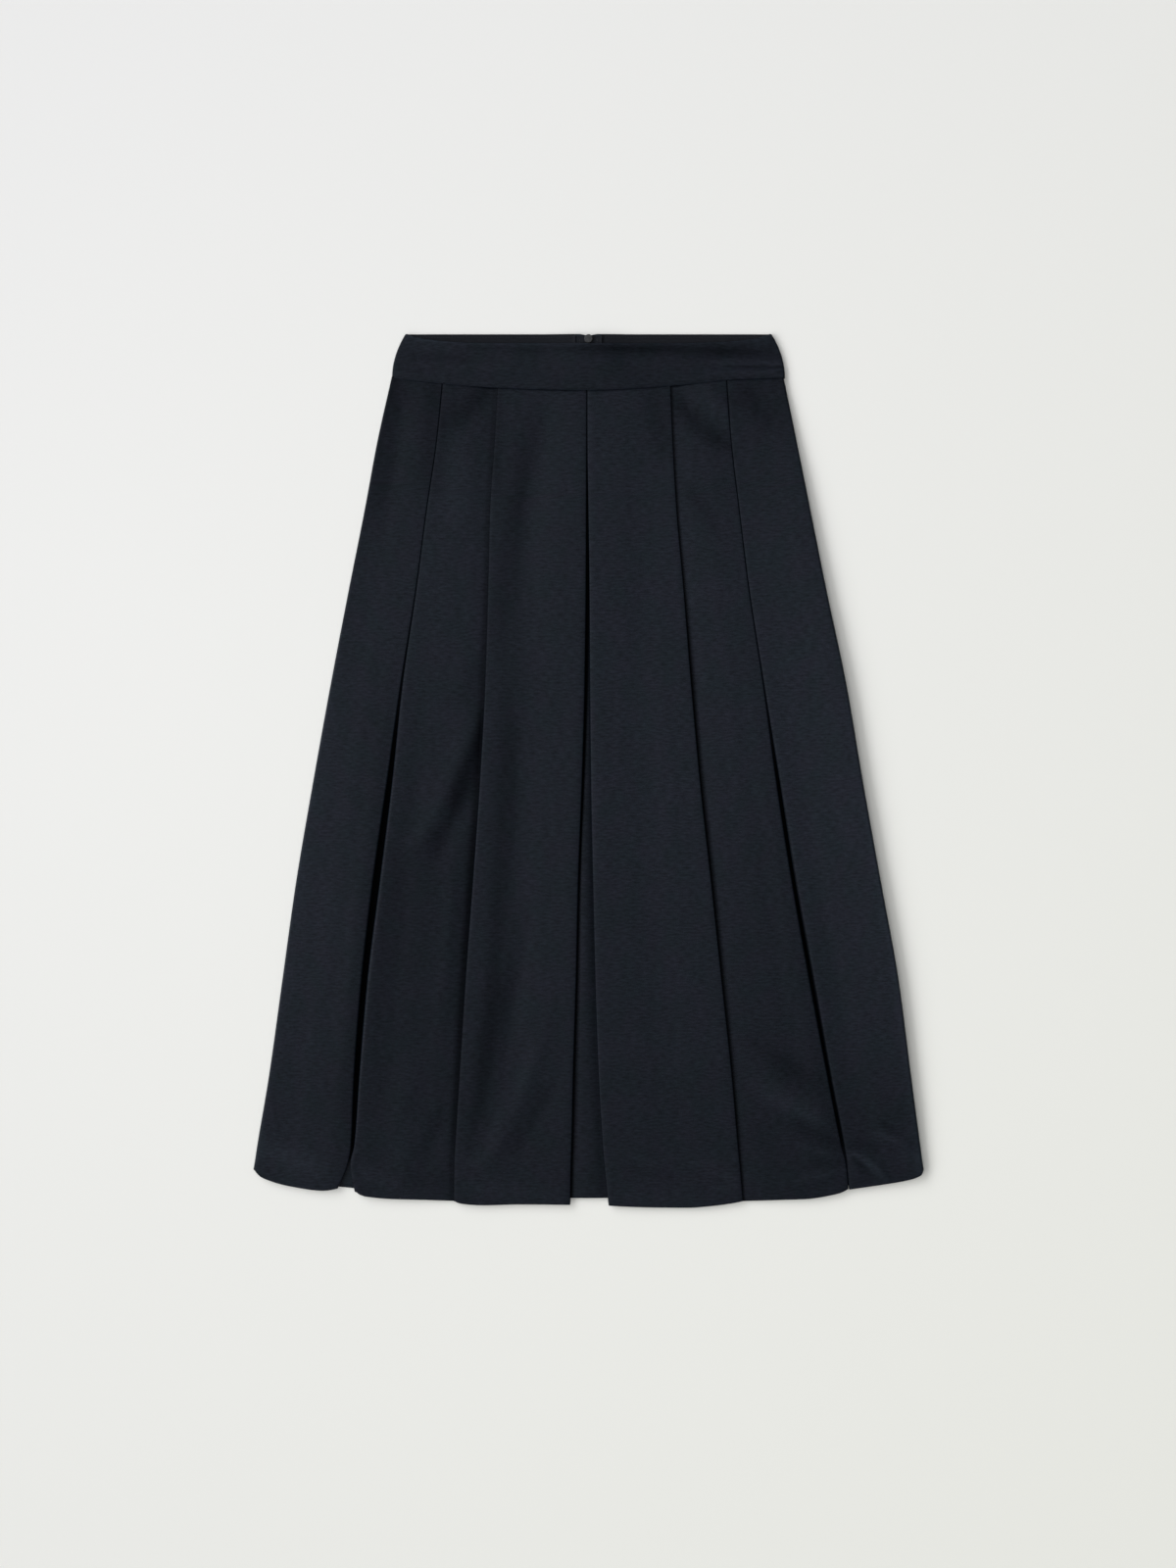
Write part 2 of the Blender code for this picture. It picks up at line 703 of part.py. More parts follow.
def zip_slider(material):
    """A round body inside the waist, a neck through the opening and a bridge under the cloth."""
    body_low = TRIM_Z + TRIM_CLOTH / 2 + HUMP + SEAM_GAP
    mesh = bmesh.new()
    bmesh.ops.create_cone(
        mesh,
        cap_ends=True,
        segments=SLIDER_SIDES,
        radius1=SLIDER_RADIUS * MM,
        radius2=SLIDER_RADIUS * MM,
        depth=SLIDER_THICK * MM,
    )
    upper_rim = [e for e in mesh.edges if all(v.co.z > 0 for v in e.verts)]
    bmesh.ops.bevel(
        mesh,
        geom=upper_rim,
        offset=SLIDER_BEVEL * MM,
        segments=SLIDER_BEVEL_STEPS,
        affect="EDGES",
    )
    height = (body_low + SLIDER_THICK / 2) * MM
    bmesh.ops.translate(mesh, verts=mesh.verts[:], vec=(0, (LENGTH / 2 - SLIDER_DOWN) * MM, height))
    slider = add_object("zip_slider", mesh, material)
    neck = box_part(
        "slider_neck",
        (-NECK_HALF, BRIDGE_TOP_DOWN, BRIDGE_LOW_Z),
        (NECK_HALF, BRIDGE_END_DOWN, body_low + SLIDER_THICK / 2),
    )
    combine(slider, neck, "UNION")
    hole_low_z = BRIDGE_LOW_Z + BRIDGE_BAR
    hole = box_part(
        "bridge_hole",
        (-SLIDER_RADIUS, BRIDGE_TOP_DOWN + BRIDGE_POST, hole_low_z),
        (SLIDER_RADIUS, BRIDGE_END_DOWN - BRIDGE_POST, 2 * PULL_AXIS_Z - hole_low_z),
    )
    combine(slider, hole, "DIFFERENCE")


def zip_pull(material):
    """A flat tab whose cross bar turns in the slider's bridge. Its origin is on that axis."""
    mesh = bmesh.new()
    bar = PULL_THICK / 2
    shoulder = -PULL_LENGTH + PULL_HALF_WIDTH
    outline = [
        (-PULL_HALF_WIDTH, bar),
        (PULL_HALF_WIDTH, bar),
        (PULL_HALF_WIDTH, shoulder),
        (PULL_HALF_WIDTH / 2, -PULL_LENGTH),
        (-PULL_HALF_WIDTH / 2, -PULL_LENGTH),
        (-PULL_HALF_WIDTH, shoulder),
    ]
    hole = [
        (-PULL_HOLE_HALF, -bar),
        (PULL_HOLE_HALF, -bar),
        (PULL_HOLE_HALF, -PULL_HOLE_LENGTH),
        (-PULL_HOLE_HALF, -PULL_HOLE_LENGTH),
    ]
    tops = []
    for z in (bar, -bar):
        outer = [mesh.verts.new((x * MM, y * MM, z * MM)) for x, y in outline]
        inner = [mesh.verts.new((x * MM, y * MM, z * MM)) for x, y in hole]
        tops.append((outer, inner))
    for outer, inner in tops:
        mesh.faces.new((outer[0], outer[1], inner[1], inner[0]))
        mesh.faces.new((outer[1], outer[2], inner[2], inner[1]))
        mesh.faces.new((outer[2], outer[3], outer[4], outer[5], inner[3], inner[2]))
        mesh.faces.new((outer[5], outer[0], inner[0], inner[3]))
    for upper, lower in zip(*tops):
        count = len(upper)
        for i in range(count):
            after = (i + 1) % count
            mesh.faces.new((upper[i], upper[after], lower[after], lower[i]))
    bmesh.ops.recalc_face_normals(mesh, faces=mesh.faces[:])
    pull = add_object("zip_pull", mesh, material)
    pull.location = (0, (LENGTH / 2 - PULL_AXIS_DOWN) * MM, PULL_AXIS_Z * MM)


def main():
    for item in list(bpy.data.objects):
        bpy.data.objects.remove(item, do_unlink=True)
    cloth = principled("navy_cloth", (0.012, 0.015, 0.021), 0.72, 0.0)
    facing = principled("facing_cloth", (0.010, 0.011, 0.013), 0.8, 0.0)
    tape = principled("zip_tape", (0.010, 0.012, 0.017), 0.85, 0.0)
    metal = principled("zip_metal", (0.045, 0.048, 0.055), 0.38, 0.6)
    front_skirt(cloth)
    front_waistband(cloth)
    for side_name in SIDES:
        back_skirt(side_name, cloth)
        back_waistband(side_name, cloth)
        back_facing(side_name, facing)
        zip_tape(side_name, tape)
    zip_slider(metal)
    zip_pull(metal)


main()
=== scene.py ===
"""The looks of a flared midi skirt with a pleated front, laid flat on its back with its front up.

Each wall of cloth follows the middle of its solid, thinner and with soft folds. Sizes in the tables
are millimetres. "Down" is measured from the top of the waist towards the hem, and "across" from the
centre front, positive towards the right of the laid-out skirt.
"""

import math
from collections import namedtuple

import bmesh
import bpy
import numpy as np
from mathutils import Euler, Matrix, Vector


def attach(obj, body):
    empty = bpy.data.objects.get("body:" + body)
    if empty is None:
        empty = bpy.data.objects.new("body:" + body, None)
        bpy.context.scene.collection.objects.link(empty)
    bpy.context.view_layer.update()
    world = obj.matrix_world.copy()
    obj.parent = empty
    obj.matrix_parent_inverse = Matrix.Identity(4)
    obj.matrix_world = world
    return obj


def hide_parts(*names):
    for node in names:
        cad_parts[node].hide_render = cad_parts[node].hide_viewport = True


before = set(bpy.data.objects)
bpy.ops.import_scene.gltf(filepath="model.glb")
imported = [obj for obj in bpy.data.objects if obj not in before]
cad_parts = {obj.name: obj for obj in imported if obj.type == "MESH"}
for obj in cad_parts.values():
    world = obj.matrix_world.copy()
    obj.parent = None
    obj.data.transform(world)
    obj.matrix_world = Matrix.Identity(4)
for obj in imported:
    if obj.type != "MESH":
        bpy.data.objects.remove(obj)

bl_info = {
    "name": "Flared skirt, laid flat",
    "version": (1, 0, 0),
    "blender": (4, 5, 0),
    "location": "View3D > Sidebar > Skirt",
    "description": "Cloth, trimmings, stitching and stage of a pleated flared skirt laid flat",
    "category": "Object",
}

MM = 0.001

# The bodies that move on their own.
SKIRT = "skirt"
PULL_TAB = "pull_tab"


def table(name, columns, *rows):
    """The rows of a table, each with its columns named."""
    row_type = namedtuple(name, columns)
    return tuple(row_type(*row) for row in rows)


def lines_by_piece(last_column, **pieces):
    """Lines that lie on each piece, with the column that says what they do there."""
    columns = "across_a down_a across_b down_b bow before after " + last_column
    return {piece: table("Line", columns, *rows) for piece, rows in pieces.items()}


def folds_by_piece(**pieces):
    """The soft folds of each piece, as the points that they run through."""
    columns = "down across before after height"
    return {
        piece: [table("FoldPoint", columns, *points) for points in folds]
        for piece, folds in pieces.items()
    }


# The levels at which the walls lie, as in the solids.
SOLID_CLOTH = 1.2
TRIM_CLOTH = 1.0
SEAM_GAP = 0.3
LAYER = SOLID_CLOTH + SEAM_GAP
BACK_Z = SOLID_CLOTH / 2
UNDERLAY_Z = BACK_Z + LAYER
TRIM_Z = SOLID_CLOTH + SEAM_GAP + TRIM_CLOTH / 2
BAND_Z = TRIM_Z + TRIM_CLOTH / 2 + SEAM_GAP + SOLID_CLOTH / 2

# The whole skirt.
LENGTH = 801.9
BAND_HALF_TOP = 168.5
BAND_HALF_BOTTOM = 180.5
FRONT_DIP = 8.4
FRONT_DIP_POWER = 6
BACK_NOTCH = 1.5
BACK_NOTCH_WIDTH = 6.0
PLEAT_DEPTH_WAIST = 16.0
PLEAT_DEPTH_HEM = 38.0

# Each edge that shows on the front, across, at levels down the skirt. An inverted pleat has two
# edges, "a" on the panel to its left and "b" on the panel to its right.
LEVELS = table(
    "Level",
    "down left_side outer_left_a outer_left_b inner_left centre_a centre_b"
    " inner_right outer_right_a outer_right_b right_side",
    (45, -182.2, -134.4, -133.9, -83.3, -1.6, -1.1, 75.2, 127.0, 127.4, 180.5),
    (98, -194.0, -139.7, -139.3, -86.4, -1.8, -1.0, 77.4, 131.0, 131.4, 191.3),
    (161, -205.7, -148.9, -148.5, -90.5, -2.0, -0.1, 81.0, 138.4, 138.8, 203.9),
    (233, -220.0, -158.4, -157.9, -92.3, -2.3, 0.9, 87.4, 147.2, 147.7, 218.3),
    (323, -237.2, -172.6, -171.0, -95.0, -3.4, 1.4, 94.6, 160.9, 161.6, 237.2),
    (413, -253.4, -185.2, -180.5, -99.9, -5.9, 2.3, 102.8, 173.0, 176.0, 252.5),
    (503, -268.7, -197.9, -191.7, -106.2, -9.3, 4.1, 112.8, 187.1, 190.0, 268.7),
    (593, -281.3, -208.2, -203.0, -113.0, -11.3, 6.3, 122.4, 203.1, 206.0, 284.9),
    (683, -293.9, -215.2, -210.6, -118.8, -14.0, 9.5, 132.0, 220.0, 222.3, 296.6),
    (745, -304.4, -218.0, -215.2, -122.6, -15.4, 13.2, 137.4, 232.4, 234.5, 304.9),
    (762, -307.0, -221.0, -218.8, -123.5, -16.0, 14.6, 139.0, 236.7, 237.2, 307.2),
    (800, -314.9, -238.0, -212.0, -123.8, -16.7, 18.5, 142.2, 240.0, 240.5, 313.5),
)

# How far each panel's folded edge stands up from the flat layers, at levels down the skirt.
RISES = table(
    "Rise",
    "down outer_left inner_left centre outer_right",
    (45, 0.0, 0.0, 0.1, 0.0),
    (233, 0.4, 0.1, 0.5, 0.3),
    (413, 2.2, 1.0, 0.9, 1.6),
    (593, 3.0, 0.9, 0.5, 2.2),
    (745, 1.2, 0.2, 0.4, 0.8),
    (800, 0.5, 0.2, 0.4, 0.3),
)

# The distance from one layer of a pleat to the next, and how far a panel sinks between the pleats
# that lie under its edges.
SETTLES = table(
    "Settle",
    "down layer sag",
    (45, 1.0, 0.1),
    (98, 1.0, 0.3),
    (161, 1.05, 0.4),
    (323, 1.35, 0.6),
    (593, LAYER, 0.6),
    (745, 1.4, 0.4),
    (800, 1.2, 0.2),
)
SAG_WIDTH = 22.0

# How far the side seams stand up from the flat layers, and how much painted light lies beside them.
SIDE_LIFTS = table(
    "SideLift",
    "down left_side right_side left_side_light right_side_light",
    (45, 0.0, 0.0, 0.8, 1.0),
    (161, 0.3, 3.8, 0.85, 1.0),
    (323, 0.5, 5.0, 1.05, 1.05),
    (500, 0.7, 4.8, 1.05, 1.26),
    (680, 0.4, 3.8, 1.1, 1.36),
    (800, 0.0, 0.8, 1.12, 1.42),
)
SIDE_LIGHT_WIDTH = 6.5

# How a panel rounds down to each of its folded edges: by a fixed drop and a share of its rise.
Rounding = namedtuple("Rounding", "drop share width")
ROUNDINGS = {
    "outer_left_a": Rounding(0.3, 0.5, 9.0),
    "outer_left_b": Rounding(0.1, 0.05, 2.0),
    "inner_left": Rounding(0.1, 0.05, 2.0),
    "centre_a": Rounding(0.25, 0.3, 3.5),
    "centre_b": Rounding(0.2, 0.2, 2.5),
    "inner_right": Rounding(0.3, 0.0, 3.5),
    "outer_right_a": Rounding(0.3, 0.5, 9.0),
    "outer_right_b": Rounding(0.1, 0.05, 2.0),
}

# The zip tapes under the middle of the front lift it, down to their end.
LIFTS = table("Lift", "down over_zip", (45, 1.3), (233, 1.3), (323, 0.0))
LIFT_FLAT = 30.0
LIFT_END = 62.0

# How much light the deep cloth keeps at each line of pleats, from none at 0 to all at 1: inside the
# inverted pleats, and where a panel lies over its neighbour.
DARKS = table(
    "Dark",
    "down outer_left centre outer_right inner_left inner_right",
    (45, 0.66, 0.80, 0.45, 0.62, 0.40),
    (98, 0.60, 0.45, 0.60, 0.60, 0.35),
    (140, 0.58, 0.12, 0.60, 0.62, 0.28),
    (233, 0.55, 0.06, 0.60, 0.50, 0.10),
    (323, 0.30, 0.06, 0.50, 0.42, 0.03),
    (368, 0.08, 0.06, 0.25, 0.30, 0.03),
    (413, 0.06, 0.06, 0.06, 0.30, 0.04),
    (503, 0.06, 0.06, 0.05, 0.20, 0.06),
    (593, 0.06, 0.06, 0.06, 0.24, 0.08),
    (683, 0.06, 0.06, 0.06, 0.30, 0.12),
    (740, 0.08, 0.06, 0.12, 0.36, 0.16),
    (756, 0.20, 0.07, 0.55, 0.50, 0.22),
    (764, 0.90, 0.07, 0.90, 0.52, 0.24),
    (800, 0.95, 0.10, 0.95, 0.55, 0.30),
)

# How far from an edge the dark reaches.
DARK_WIDTHS = table(
    "DarkWidth",
    "down centre inner_left inner_right",
    (45, 5.0, 6.0, 2.0),
    (233, 4.6, 7.0, 2.8),
    (323, 4.2, 9.0, 4.2),
    (413, 3.2, 9.5, 4.2),
    (503, 2.4, 10.0, 4.2),
    (593, 2.8, 9.0, 3.8),
    (683, 3.8, 7.5, 3.0),
    (800, 4.4, 6.0, 2.4),
)

# How much light the folded edges that face the light keep.
EDGE_LIGHTS = table(
    "EdgeLight",
    "down outer_left inner_left centre outer_right",
    (45, 0.70, 0.60, 0.70, 0.60),
    (98, 0.80, 0.70, 0.75, 0.80),
    (233, 0.80, 0.68, 0.95, 0.80),
    (368, 0.85, 0.95, 0.95, 0.75),
    (458, 1.15, 1.05, 0.90, 0.48),
    (548, 1.22, 0.90, 0.86, 0.28),
    (640, 1.22, 0.60, 1.00, 0.20),
    (720, 1.05, 0.58, 0.95, 0.26),
    (800, 0.80, 0.70, 0.90, 0.70),
)

# The painted light and shade on each panel, as a share, at levels down the skirt.
PANEL_PAINTED_LIGHTS = table(
    "PanelLight",
    "down panel_1 panel_2 panel_3 panel_4 panel_5 panel_6",
    (45, 0.80, 0.80, 0.90, 0.95, 0.84, 0.74),
    (98, 0.92, 0.95, 0.97, 1.00, 0.90, 0.88),
    (233, 1.02, 1.05, 0.98, 1.04, 1.00, 1.02),
    (413, 1.10, 0.98, 0.97, 1.03, 0.96, 1.08),
    (503, 1.10, 0.84, 0.96, 0.98, 0.88, 1.04),
    (640, 1.01, 0.84, 0.89, 0.91, 0.80, 0.93),
    (745, 0.94, 0.84, 0.84, 0.84, 0.74, 0.76),
    (800, 0.98, 0.86, 0.84, 0.86, 0.76, 0.80),
)

# The line of each hem, as shares of the panel's width and the level down.
Hem = namedtuple("Hem", "share down")
PANEL_HEMS = {
    "panel_1": (Hem(0, 766.8), Hem(0.15, 775), Hem(0.46, 782.3), Hem(0.84, 786.2), Hem(1, 784.5)),
    "panel_2": (Hem(0, 787.5), Hem(0.1, 791.5), Hem(0.36, 793.8), Hem(0.7, 794.7), Hem(1, 795.8)),
    "panel_3": (Hem(0, 796), Hem(0.08, 798.3), Hem(0.25, 799.6), Hem(0.57, 798.8), Hem(1, 799.2)),
    "panel_4": (Hem(0, 800), Hem(0.28, 801.5), Hem(0.58, LENGTH), Hem(0.76, 800.3), Hem(1, 796)),
    "panel_5": (Hem(0, 796), Hem(0.37, 794.7), Hem(0.6, 793.8), Hem(0.83, 790), Hem(1, 785)),
    "panel_6": (Hem(0, 785), Hem(0.45, 780.5), Hem(0.84, 775.5), Hem(0.97, 771.3), Hem(1, 766.8)),
    "back": (Hem(0, 766.8), Hem(0.05, 773), Hem(0.15, 779), Hem(0.4, 786), Hem(1, 790.5)),
}
HIDDEN_HEMS = {
    "outer_left": 781,
    "inner_left": 794,
    "centre": 793,
    "inner_right": 794,
    "outer_right": 776,
}

# The seam between the waistband and the front, and the one between the waistband and the back.
FRONT_SEAM = table(
    "SeamPoint",
    "across down",
    (-BAND_HALF_BOTTOM, 38.7),
    (-134.5, 44.1),
    (-85.0, 48.6),
    (-1.4, 51.3),
    (75.0, 46.8),
    (126.5, 41.4),
    (BAND_HALF_BOTTOM, 39.5),
)
BACK_SEAM_SIDE = 39.5
BACK_SEAM_CENTRE = 48.0

# The six panels of the front: the edges on their left and right, the edges whose rise they share,
# the side on which they fall to the layer below, and how many lines run down between their margins.
PANELS = table(
    "Panel",
    "name left right left_rise right_rise falls lines",
    ("panel_1", "left_side", "outer_left_a", None, "outer_left", None, 19),
    ("panel_2", "outer_left_b", "inner_left", "outer_left", None, "right", 23),
    ("panel_3", "inner_left", "centre_a", "inner_left", "centre", None, 28),
    ("panel_4", "centre_b", "inner_right", "centre", None, None, 33),
    ("panel_5", "inner_right", "outer_right_a", None, "outer_right", "left", 24),
    ("panel_6", "outer_right_b", "right_side", "outer_right", None, None, 18),
)
MARGIN_LINES = (3.2, 5.2, 8.0)
RISE_SHARE = 0.35
FALL_START = 0.47
FALL_SHARE = 0.45
FALL_BROAD = 0.4
FALL_STEEP_WIDTH = 11.0

# The soft folds that run down a panel, through points with their level down, their place across,
# the fold's width on its left and on its right, and its height, negative in a trough.
FOLDS = folds_by_piece(
    panel_1=(
        (
            (45, -168, 6, 6, 0.0), (75, -172, 6, 7, -0.7), (150, -184, 6, 8, -0.5),
            (230, -196, 6, 8, 0.0),
        ),
    ),
    panel_2=(
        (
            (480, -123, 5, 9, 0.0), (520, -128, 4, 9, 0.8), (590, -133, 4, 9, 0.7),
            (650, -140, 5, 9, 0.0),
        ),
    ),
    panel_3=(
        (
            (46, -32, 12, 12, 0.0), (71, -37, 12, 15, -1.0), (107, -43, 11, 18, -1.3),
            (143, -53, 10, 20, -1.3), (179, -64, 9, 22, -1.2), (215, -69, 9, 22, -0.9),
            (323, -73, 10, 22, -0.6), (413, -74, 10, 20, -1.1), (503, -80, 10, 18, -0.9),
            (560, -84, 10, 16, 0.0),
        ),
        (
            (520, -52, 10, 12, 0.0), (570, -60, 10, 11, -1.0), (652, -76, 9, 9, -1.4),
            (727, -95, 8, 7, -1.2), (775, -110, 7, 7, 0.0),
        ),
        (
            (590, -28, 10, 8, 0.0), (640, -40, 9, 7, 0.7), (690, -56, 7, 6, 1.1),
            (742, -80, 6, 6, 0.9), (770, -94, 5, 5, 0.0),
        ),
        (
            (650, -18, 7, 7, 0.0), (700, -34, 6, 6, -0.7), (745, -58, 5, 6, -0.5),
            (765, -66, 5, 6, 0.0),
        ),
    ),
    panel_4=(
        (
            (44, 56, 8, 5, 0.0), (60, 62, 8, 5, -0.7), (100, 68, 8, 5, -0.5), (135, 70, 8, 5, 0.0),
        ),
    ),
    back=(
        (
            (100, 60, 18, 18, 0.0), (260, 96, 18, 18, 0.45), (430, 120, 18, 18, 0.0),
        ),
        (
            (290, 168, 20, 16, 0.0), (500, 200, 20, 16, 0.45), (710, 232, 20, 16, 0.0),
        ),
        (
            (520, 40, 16, 16, 0.0), (660, 62, 16, 16, 0.45), (790, 90, 16, 16, 0.2),
        ),
    ),
)

# The short creases by piece, each on a line from one point across and down to another, with its
# bow, its width on its left or lower side, the one on its right or upper side, and its height.
CREASES = lines_by_piece(
    "height",
    panel_2=(
        (-80, 46, -137, 104, 0, 9, 7, -1.5), (-126, 44, -130, 70, 0, 5, 5, 0.6),
        (-90, 340, -168, 502, 0, 12, 8, 1.8), (-92, 400, -150, 497, 0, 7, 7, -1.0),
        (-155, 660, -185, 756, 0, 10, 10, 0.8), (-130, 700, -156, 795, 0, 10, 8, -0.7),
        (-216, 759, -204, 780, 0, 2.4, 2.4, -0.7),
    ),
    panel_3=(
        (-112, 755, -60, 768, 0, 6, 6, 0.4),
    ),
    panel_4=(
        (24, 752, 60, 760, 0, 5, 5, 0.6), (50, 762, 98, 768, 0, 5, 5, 0.6),
        (88, 776, 142, 790, 0, 5, 5, 0.6),
    ),
    panel_5=(
        (80, 46, 136, 106, -7, 8, 7, -1.5), (106, 42, 136, 84, 0, 7, 7, 0.9),
        (107, 95, 136, 104, 0, 3, 3, -0.4), (142, 655, 232, 735, 0, 11, 8, 1.2),
        (150, 728, 205, 760, 0, 8, 8, -0.7), (200, 744, 240, 770, 0, 5, 4, -1.0),
        (186, 783, 240, 766, 0, 4, 4, 0.7), (158, 776, 196, 786, 0, 4, 4, 0.5),
    ),
    panel_6=(
        (138, 42, 180, 88, 0, 10, 8, -1.0), (254, 727, 296, 735, 0, 4, 4, -0.6),
        (258, 720, 300, 752, 0, 5, 5, 1.1), (236, 750, 278, 782, 6, 2.8, 3.0, 1.3),
        (237, 753, 253, 778, 0, 2.4, 2.4, 0.9), (236, 747, 260, 750, 0, 3, 3, -1.0),
    ),
    front_waistband=(
        (-30, 14, 168, 15, -3, 6, 4, -1.1), (55, 24, 186, 25, 2, 2.4, 2.4, 0.8),
        (95, 30.5, 184, 29.5, 0, 2, 2.2, -0.9), (60, 20, 184, 10, 0, 2.6, 2.6, 0.4),
        (-168, 21, -90, 27, 1, 3, 3, -0.6), (-175, 14, -96, 7, 1, 3, 3, -0.7),
        (-160, 9, -112, 7, 0, 2.4, 2.4, 0.7), (-120, 33, -10, 38, 2, 3, 3, -0.6),
        (-60, 22, 50, 28, -2, 4, 4, 0.5),
    ),
)
CREASE_END = 0.28

# Painted shade, below 0, or painted light, above 0, along such a line, as beside a fold.
PAINTED_LINES = lines_by_piece(
    "light",
    panel_1=(
        (-166, 230, -223, 850, -7, 25, 4, -0.24), (-322, 740, -236, 770, 0, 10, 10, 0.24),
        (-138, 20, -150, 160, 0, 10, 5, -0.22), (-176, 10, -198, 190, 0, 7, 12, -0.2),
        (-225, 260, -290, 700, 0, 14, 14, 0.08),
    ),
    panel_2=(
        (-133, 30, -143, 160, 0, 6, 8, -0.18), (-82, 44, -140, 92, 0, 10, 9, -0.22),
        (-118, 90, -124, 190, 0, 12, 12, 0.12), (-100, 290, -118, 352, 0, 9, 9, -0.14),
        (-84, 328, -133, 450, 0, 8, 14, -0.5), (-116, 414, -144, 488, 0, 4, 5, -0.24),
        (-174, 470, -142, 448, 0, 3, 3, 0.12), (-168, 484, -132, 450, 0, 4, 4, -0.2),
        (-160, 712, -184, 772, 0, 5, 6, 0.16), (-124, 700, -166, 768, 0, 6, 8, -0.14),
        (-172, 776, -126, 778, 0, 9, 9, -0.12), (-218, 768, -172, 780, 0, 8, 8, 0.14),
    ),
    panel_3=(
        (-82, 20, -87, 160, 0, 5, 6, -0.22), (-42, 30, -84, 320, -6, 12, 12, -0.2),
        (-74, 260, -112, 760, 11, 7, 11, -0.3), (-70, 560, -112, 760, 0, 9, 9, -0.2),
        (-38, 632, -108, 778, 0, 5, 5, 0.16), (-34, 680, -76, 760, 0, 6, 8, -0.22),
        (-118, 760, -96, 763, 0, 3, 3, 0.14), (-128, 786, -20, 789, 0, 8, 8, 0.12),
    ),
    panel_4=(
        (60, 20, 74, 124, 0, 14, 8, -0.24), (32, 752, 66, 764, 0, 3, 3, 0.14),
        (90, 761, 128, 762, 0, 3.5, 3, 0.12), (104, 768, 142, 776, 0, 3, 3, 0.18),
        (106, 789, 146, 780, 0, 3, 3, 0.16), (20, 764, 90, 776, 0, 4, 4, -0.08),
        (16, 792, 104, 794, 0, 7, 7, 0.1),
    ),
    panel_5=(
        (72, 46, 142, 108, -7, 9, 7, -0.32), (92, 44, 140, 88, 0, 6, 6, 0.14),
        (104, 95, 138, 105, 0, 2, 2, -0.2), (86, 134, 122, 188, 0, 7, 7, -0.18),
        (140, 640, 200, 690, 0, 10, 10, -0.12), (138, 680, 228, 726, 0, 9, 8, 0.22),
        (146, 694, 224, 728, 0, 4, 3.5, 0.22), (160, 655, 230, 702, 0, 8, 9, -0.15),
        (178, 722, 246, 752, 0, 6, 7, -0.22), (182, 742, 228, 756, 0, 2.5, 3, 0.16),
        (196, 762, 244, 762, 0, 4, 4, -0.16), (180, 781, 246, 766, 0, 2.5, 2.5, 0.16),
    ),
    panel_6=(
        (134, 44, 182, 90, 0, 12, 12, -0.18), (280, 750, 322, 766, 0, 9, 9, 0.2),
        (238, 738, 270, 752, 0, 6, 6, -0.2), (234, 750, 264, 774, 5, 1.7, 1.7, 0.5),
        (240, 756, 262, 782, 4, 2, 2, -0.2), (246, 749, 276, 784, 3, 1.9, 1.9, 0.36),
        (258, 731, 296, 747, 0, 3, 3, 0.24), (262, 722, 286, 734, 0, 3, 3, -0.14),
    ),
    front_waistband=(
        (-176, 6, -110, 6, 0, 6, 5, 0.12), (-130, 9, -30, 16, 0, 4, 4, -0.14),
        (-184, 19, -96, 24, 0, 5, 4, -0.14), (-80, 13, 110, 13, 0, 4, 4, -0.16),
        (-30, 12, 190, 14, 0, 7, 6, -0.3), (95, 16, 185, 18, 0, 5, 4, -0.22),
        (100, 25.5, 196, 27, 0, 1.8, 1.5, 0.32), (120, 29.5, 200, 30, 0, 1.3, 1.3, -0.42),
        (95, 34, 190, 34, 0, 2.5, 2.5, 0.14), (-30, 22, 70, 26, 0, 3, 3, 0.08),
        (-170, 26, -60, 33, 0, 3, 3, 0.08), (-178, 31, -140, 33, 0, 1.6, 1.6, -0.1),
    ),
)

# The painted light on the front waistband, from side to side, and the painted highlight along its top
# edge.
BAND_PAINTED_LIGHTS = table(
    "BandLight",
    "across light",
    (-180, 0.92), (-120, 0.90), (0, 0.84), (100, 0.82), (180, 0.86),
)
BAND_RIM_LIGHT = 0.26
BAND_RIM_WIDTH = 2.0

# The zip at the centre back. The back waistband rides up over its pull tab.
HUMP = 2.2
HUMP_FLAT = 8.0
HUMP_END = 45.0
HUMP_FULL_TO = 26.0
BAND_RAMP_START = 26.0
ZIP_LENGTH = 200.0
ZIP_TEETH_START = 8.6
ZIP_END = 1
TAPE_INNER = 1.0
TAPE_OUTER = 12.0
TAPE_TOP = 2.0
FACING_GAP = 0.05
FACING_INNER = TAPE_OUTER + FACING_GAP
FACING_TOP = 0.6
FACING_SIDE_GAP = 7.0
SLIDER_DOWN = 4.1
SLIDER_Z = TRIM_Z + TRIM_CLOTH / 2 + HUMP + SEAM_GAP
NECK_HALF = 0.6
BRIDGE_TOP_DOWN = 2.2
BRIDGE_END_DOWN = 7.6
BRIDGE_LOW_Z = 0.3
BRIDGE_BAR = 0.5
PULL_AXIS_DOWN = 4.9
PULL_AXIS_Z = 1.375
PULL_THICK = 0.7
PULL_HALF_WIDTH = 2.6
PULL_LENGTH = 19.0
PULL_HOLE_HALF = 0.95
PULL_HOLE_LENGTH = 3.4

# How light fades round a folded edge, from its top to its underside.
SHOWN_FOLD = table(
    "Turn",
    "angle light",
    (90, 1.0), (60, 1.0), (30, 0.9), (0, 0.7), (-30, 0.45), (-60, 0.3), (-90, 0.3),
)
HIDDEN_FOLD = table("Turn", "angle light", (90, 0.3), (30, 0.3), (-30, 0.3), (-90, 0.3))

# How low a panel can lie, on the back or on the layers under its edges, and how softly.
LEAST_DEPTH = 0.45
LEAST_OPEN = 1.7
REST_SOFTNESS = 0.12
REST_CLEAR = 20
SIDE_SUPPORT = 30.0

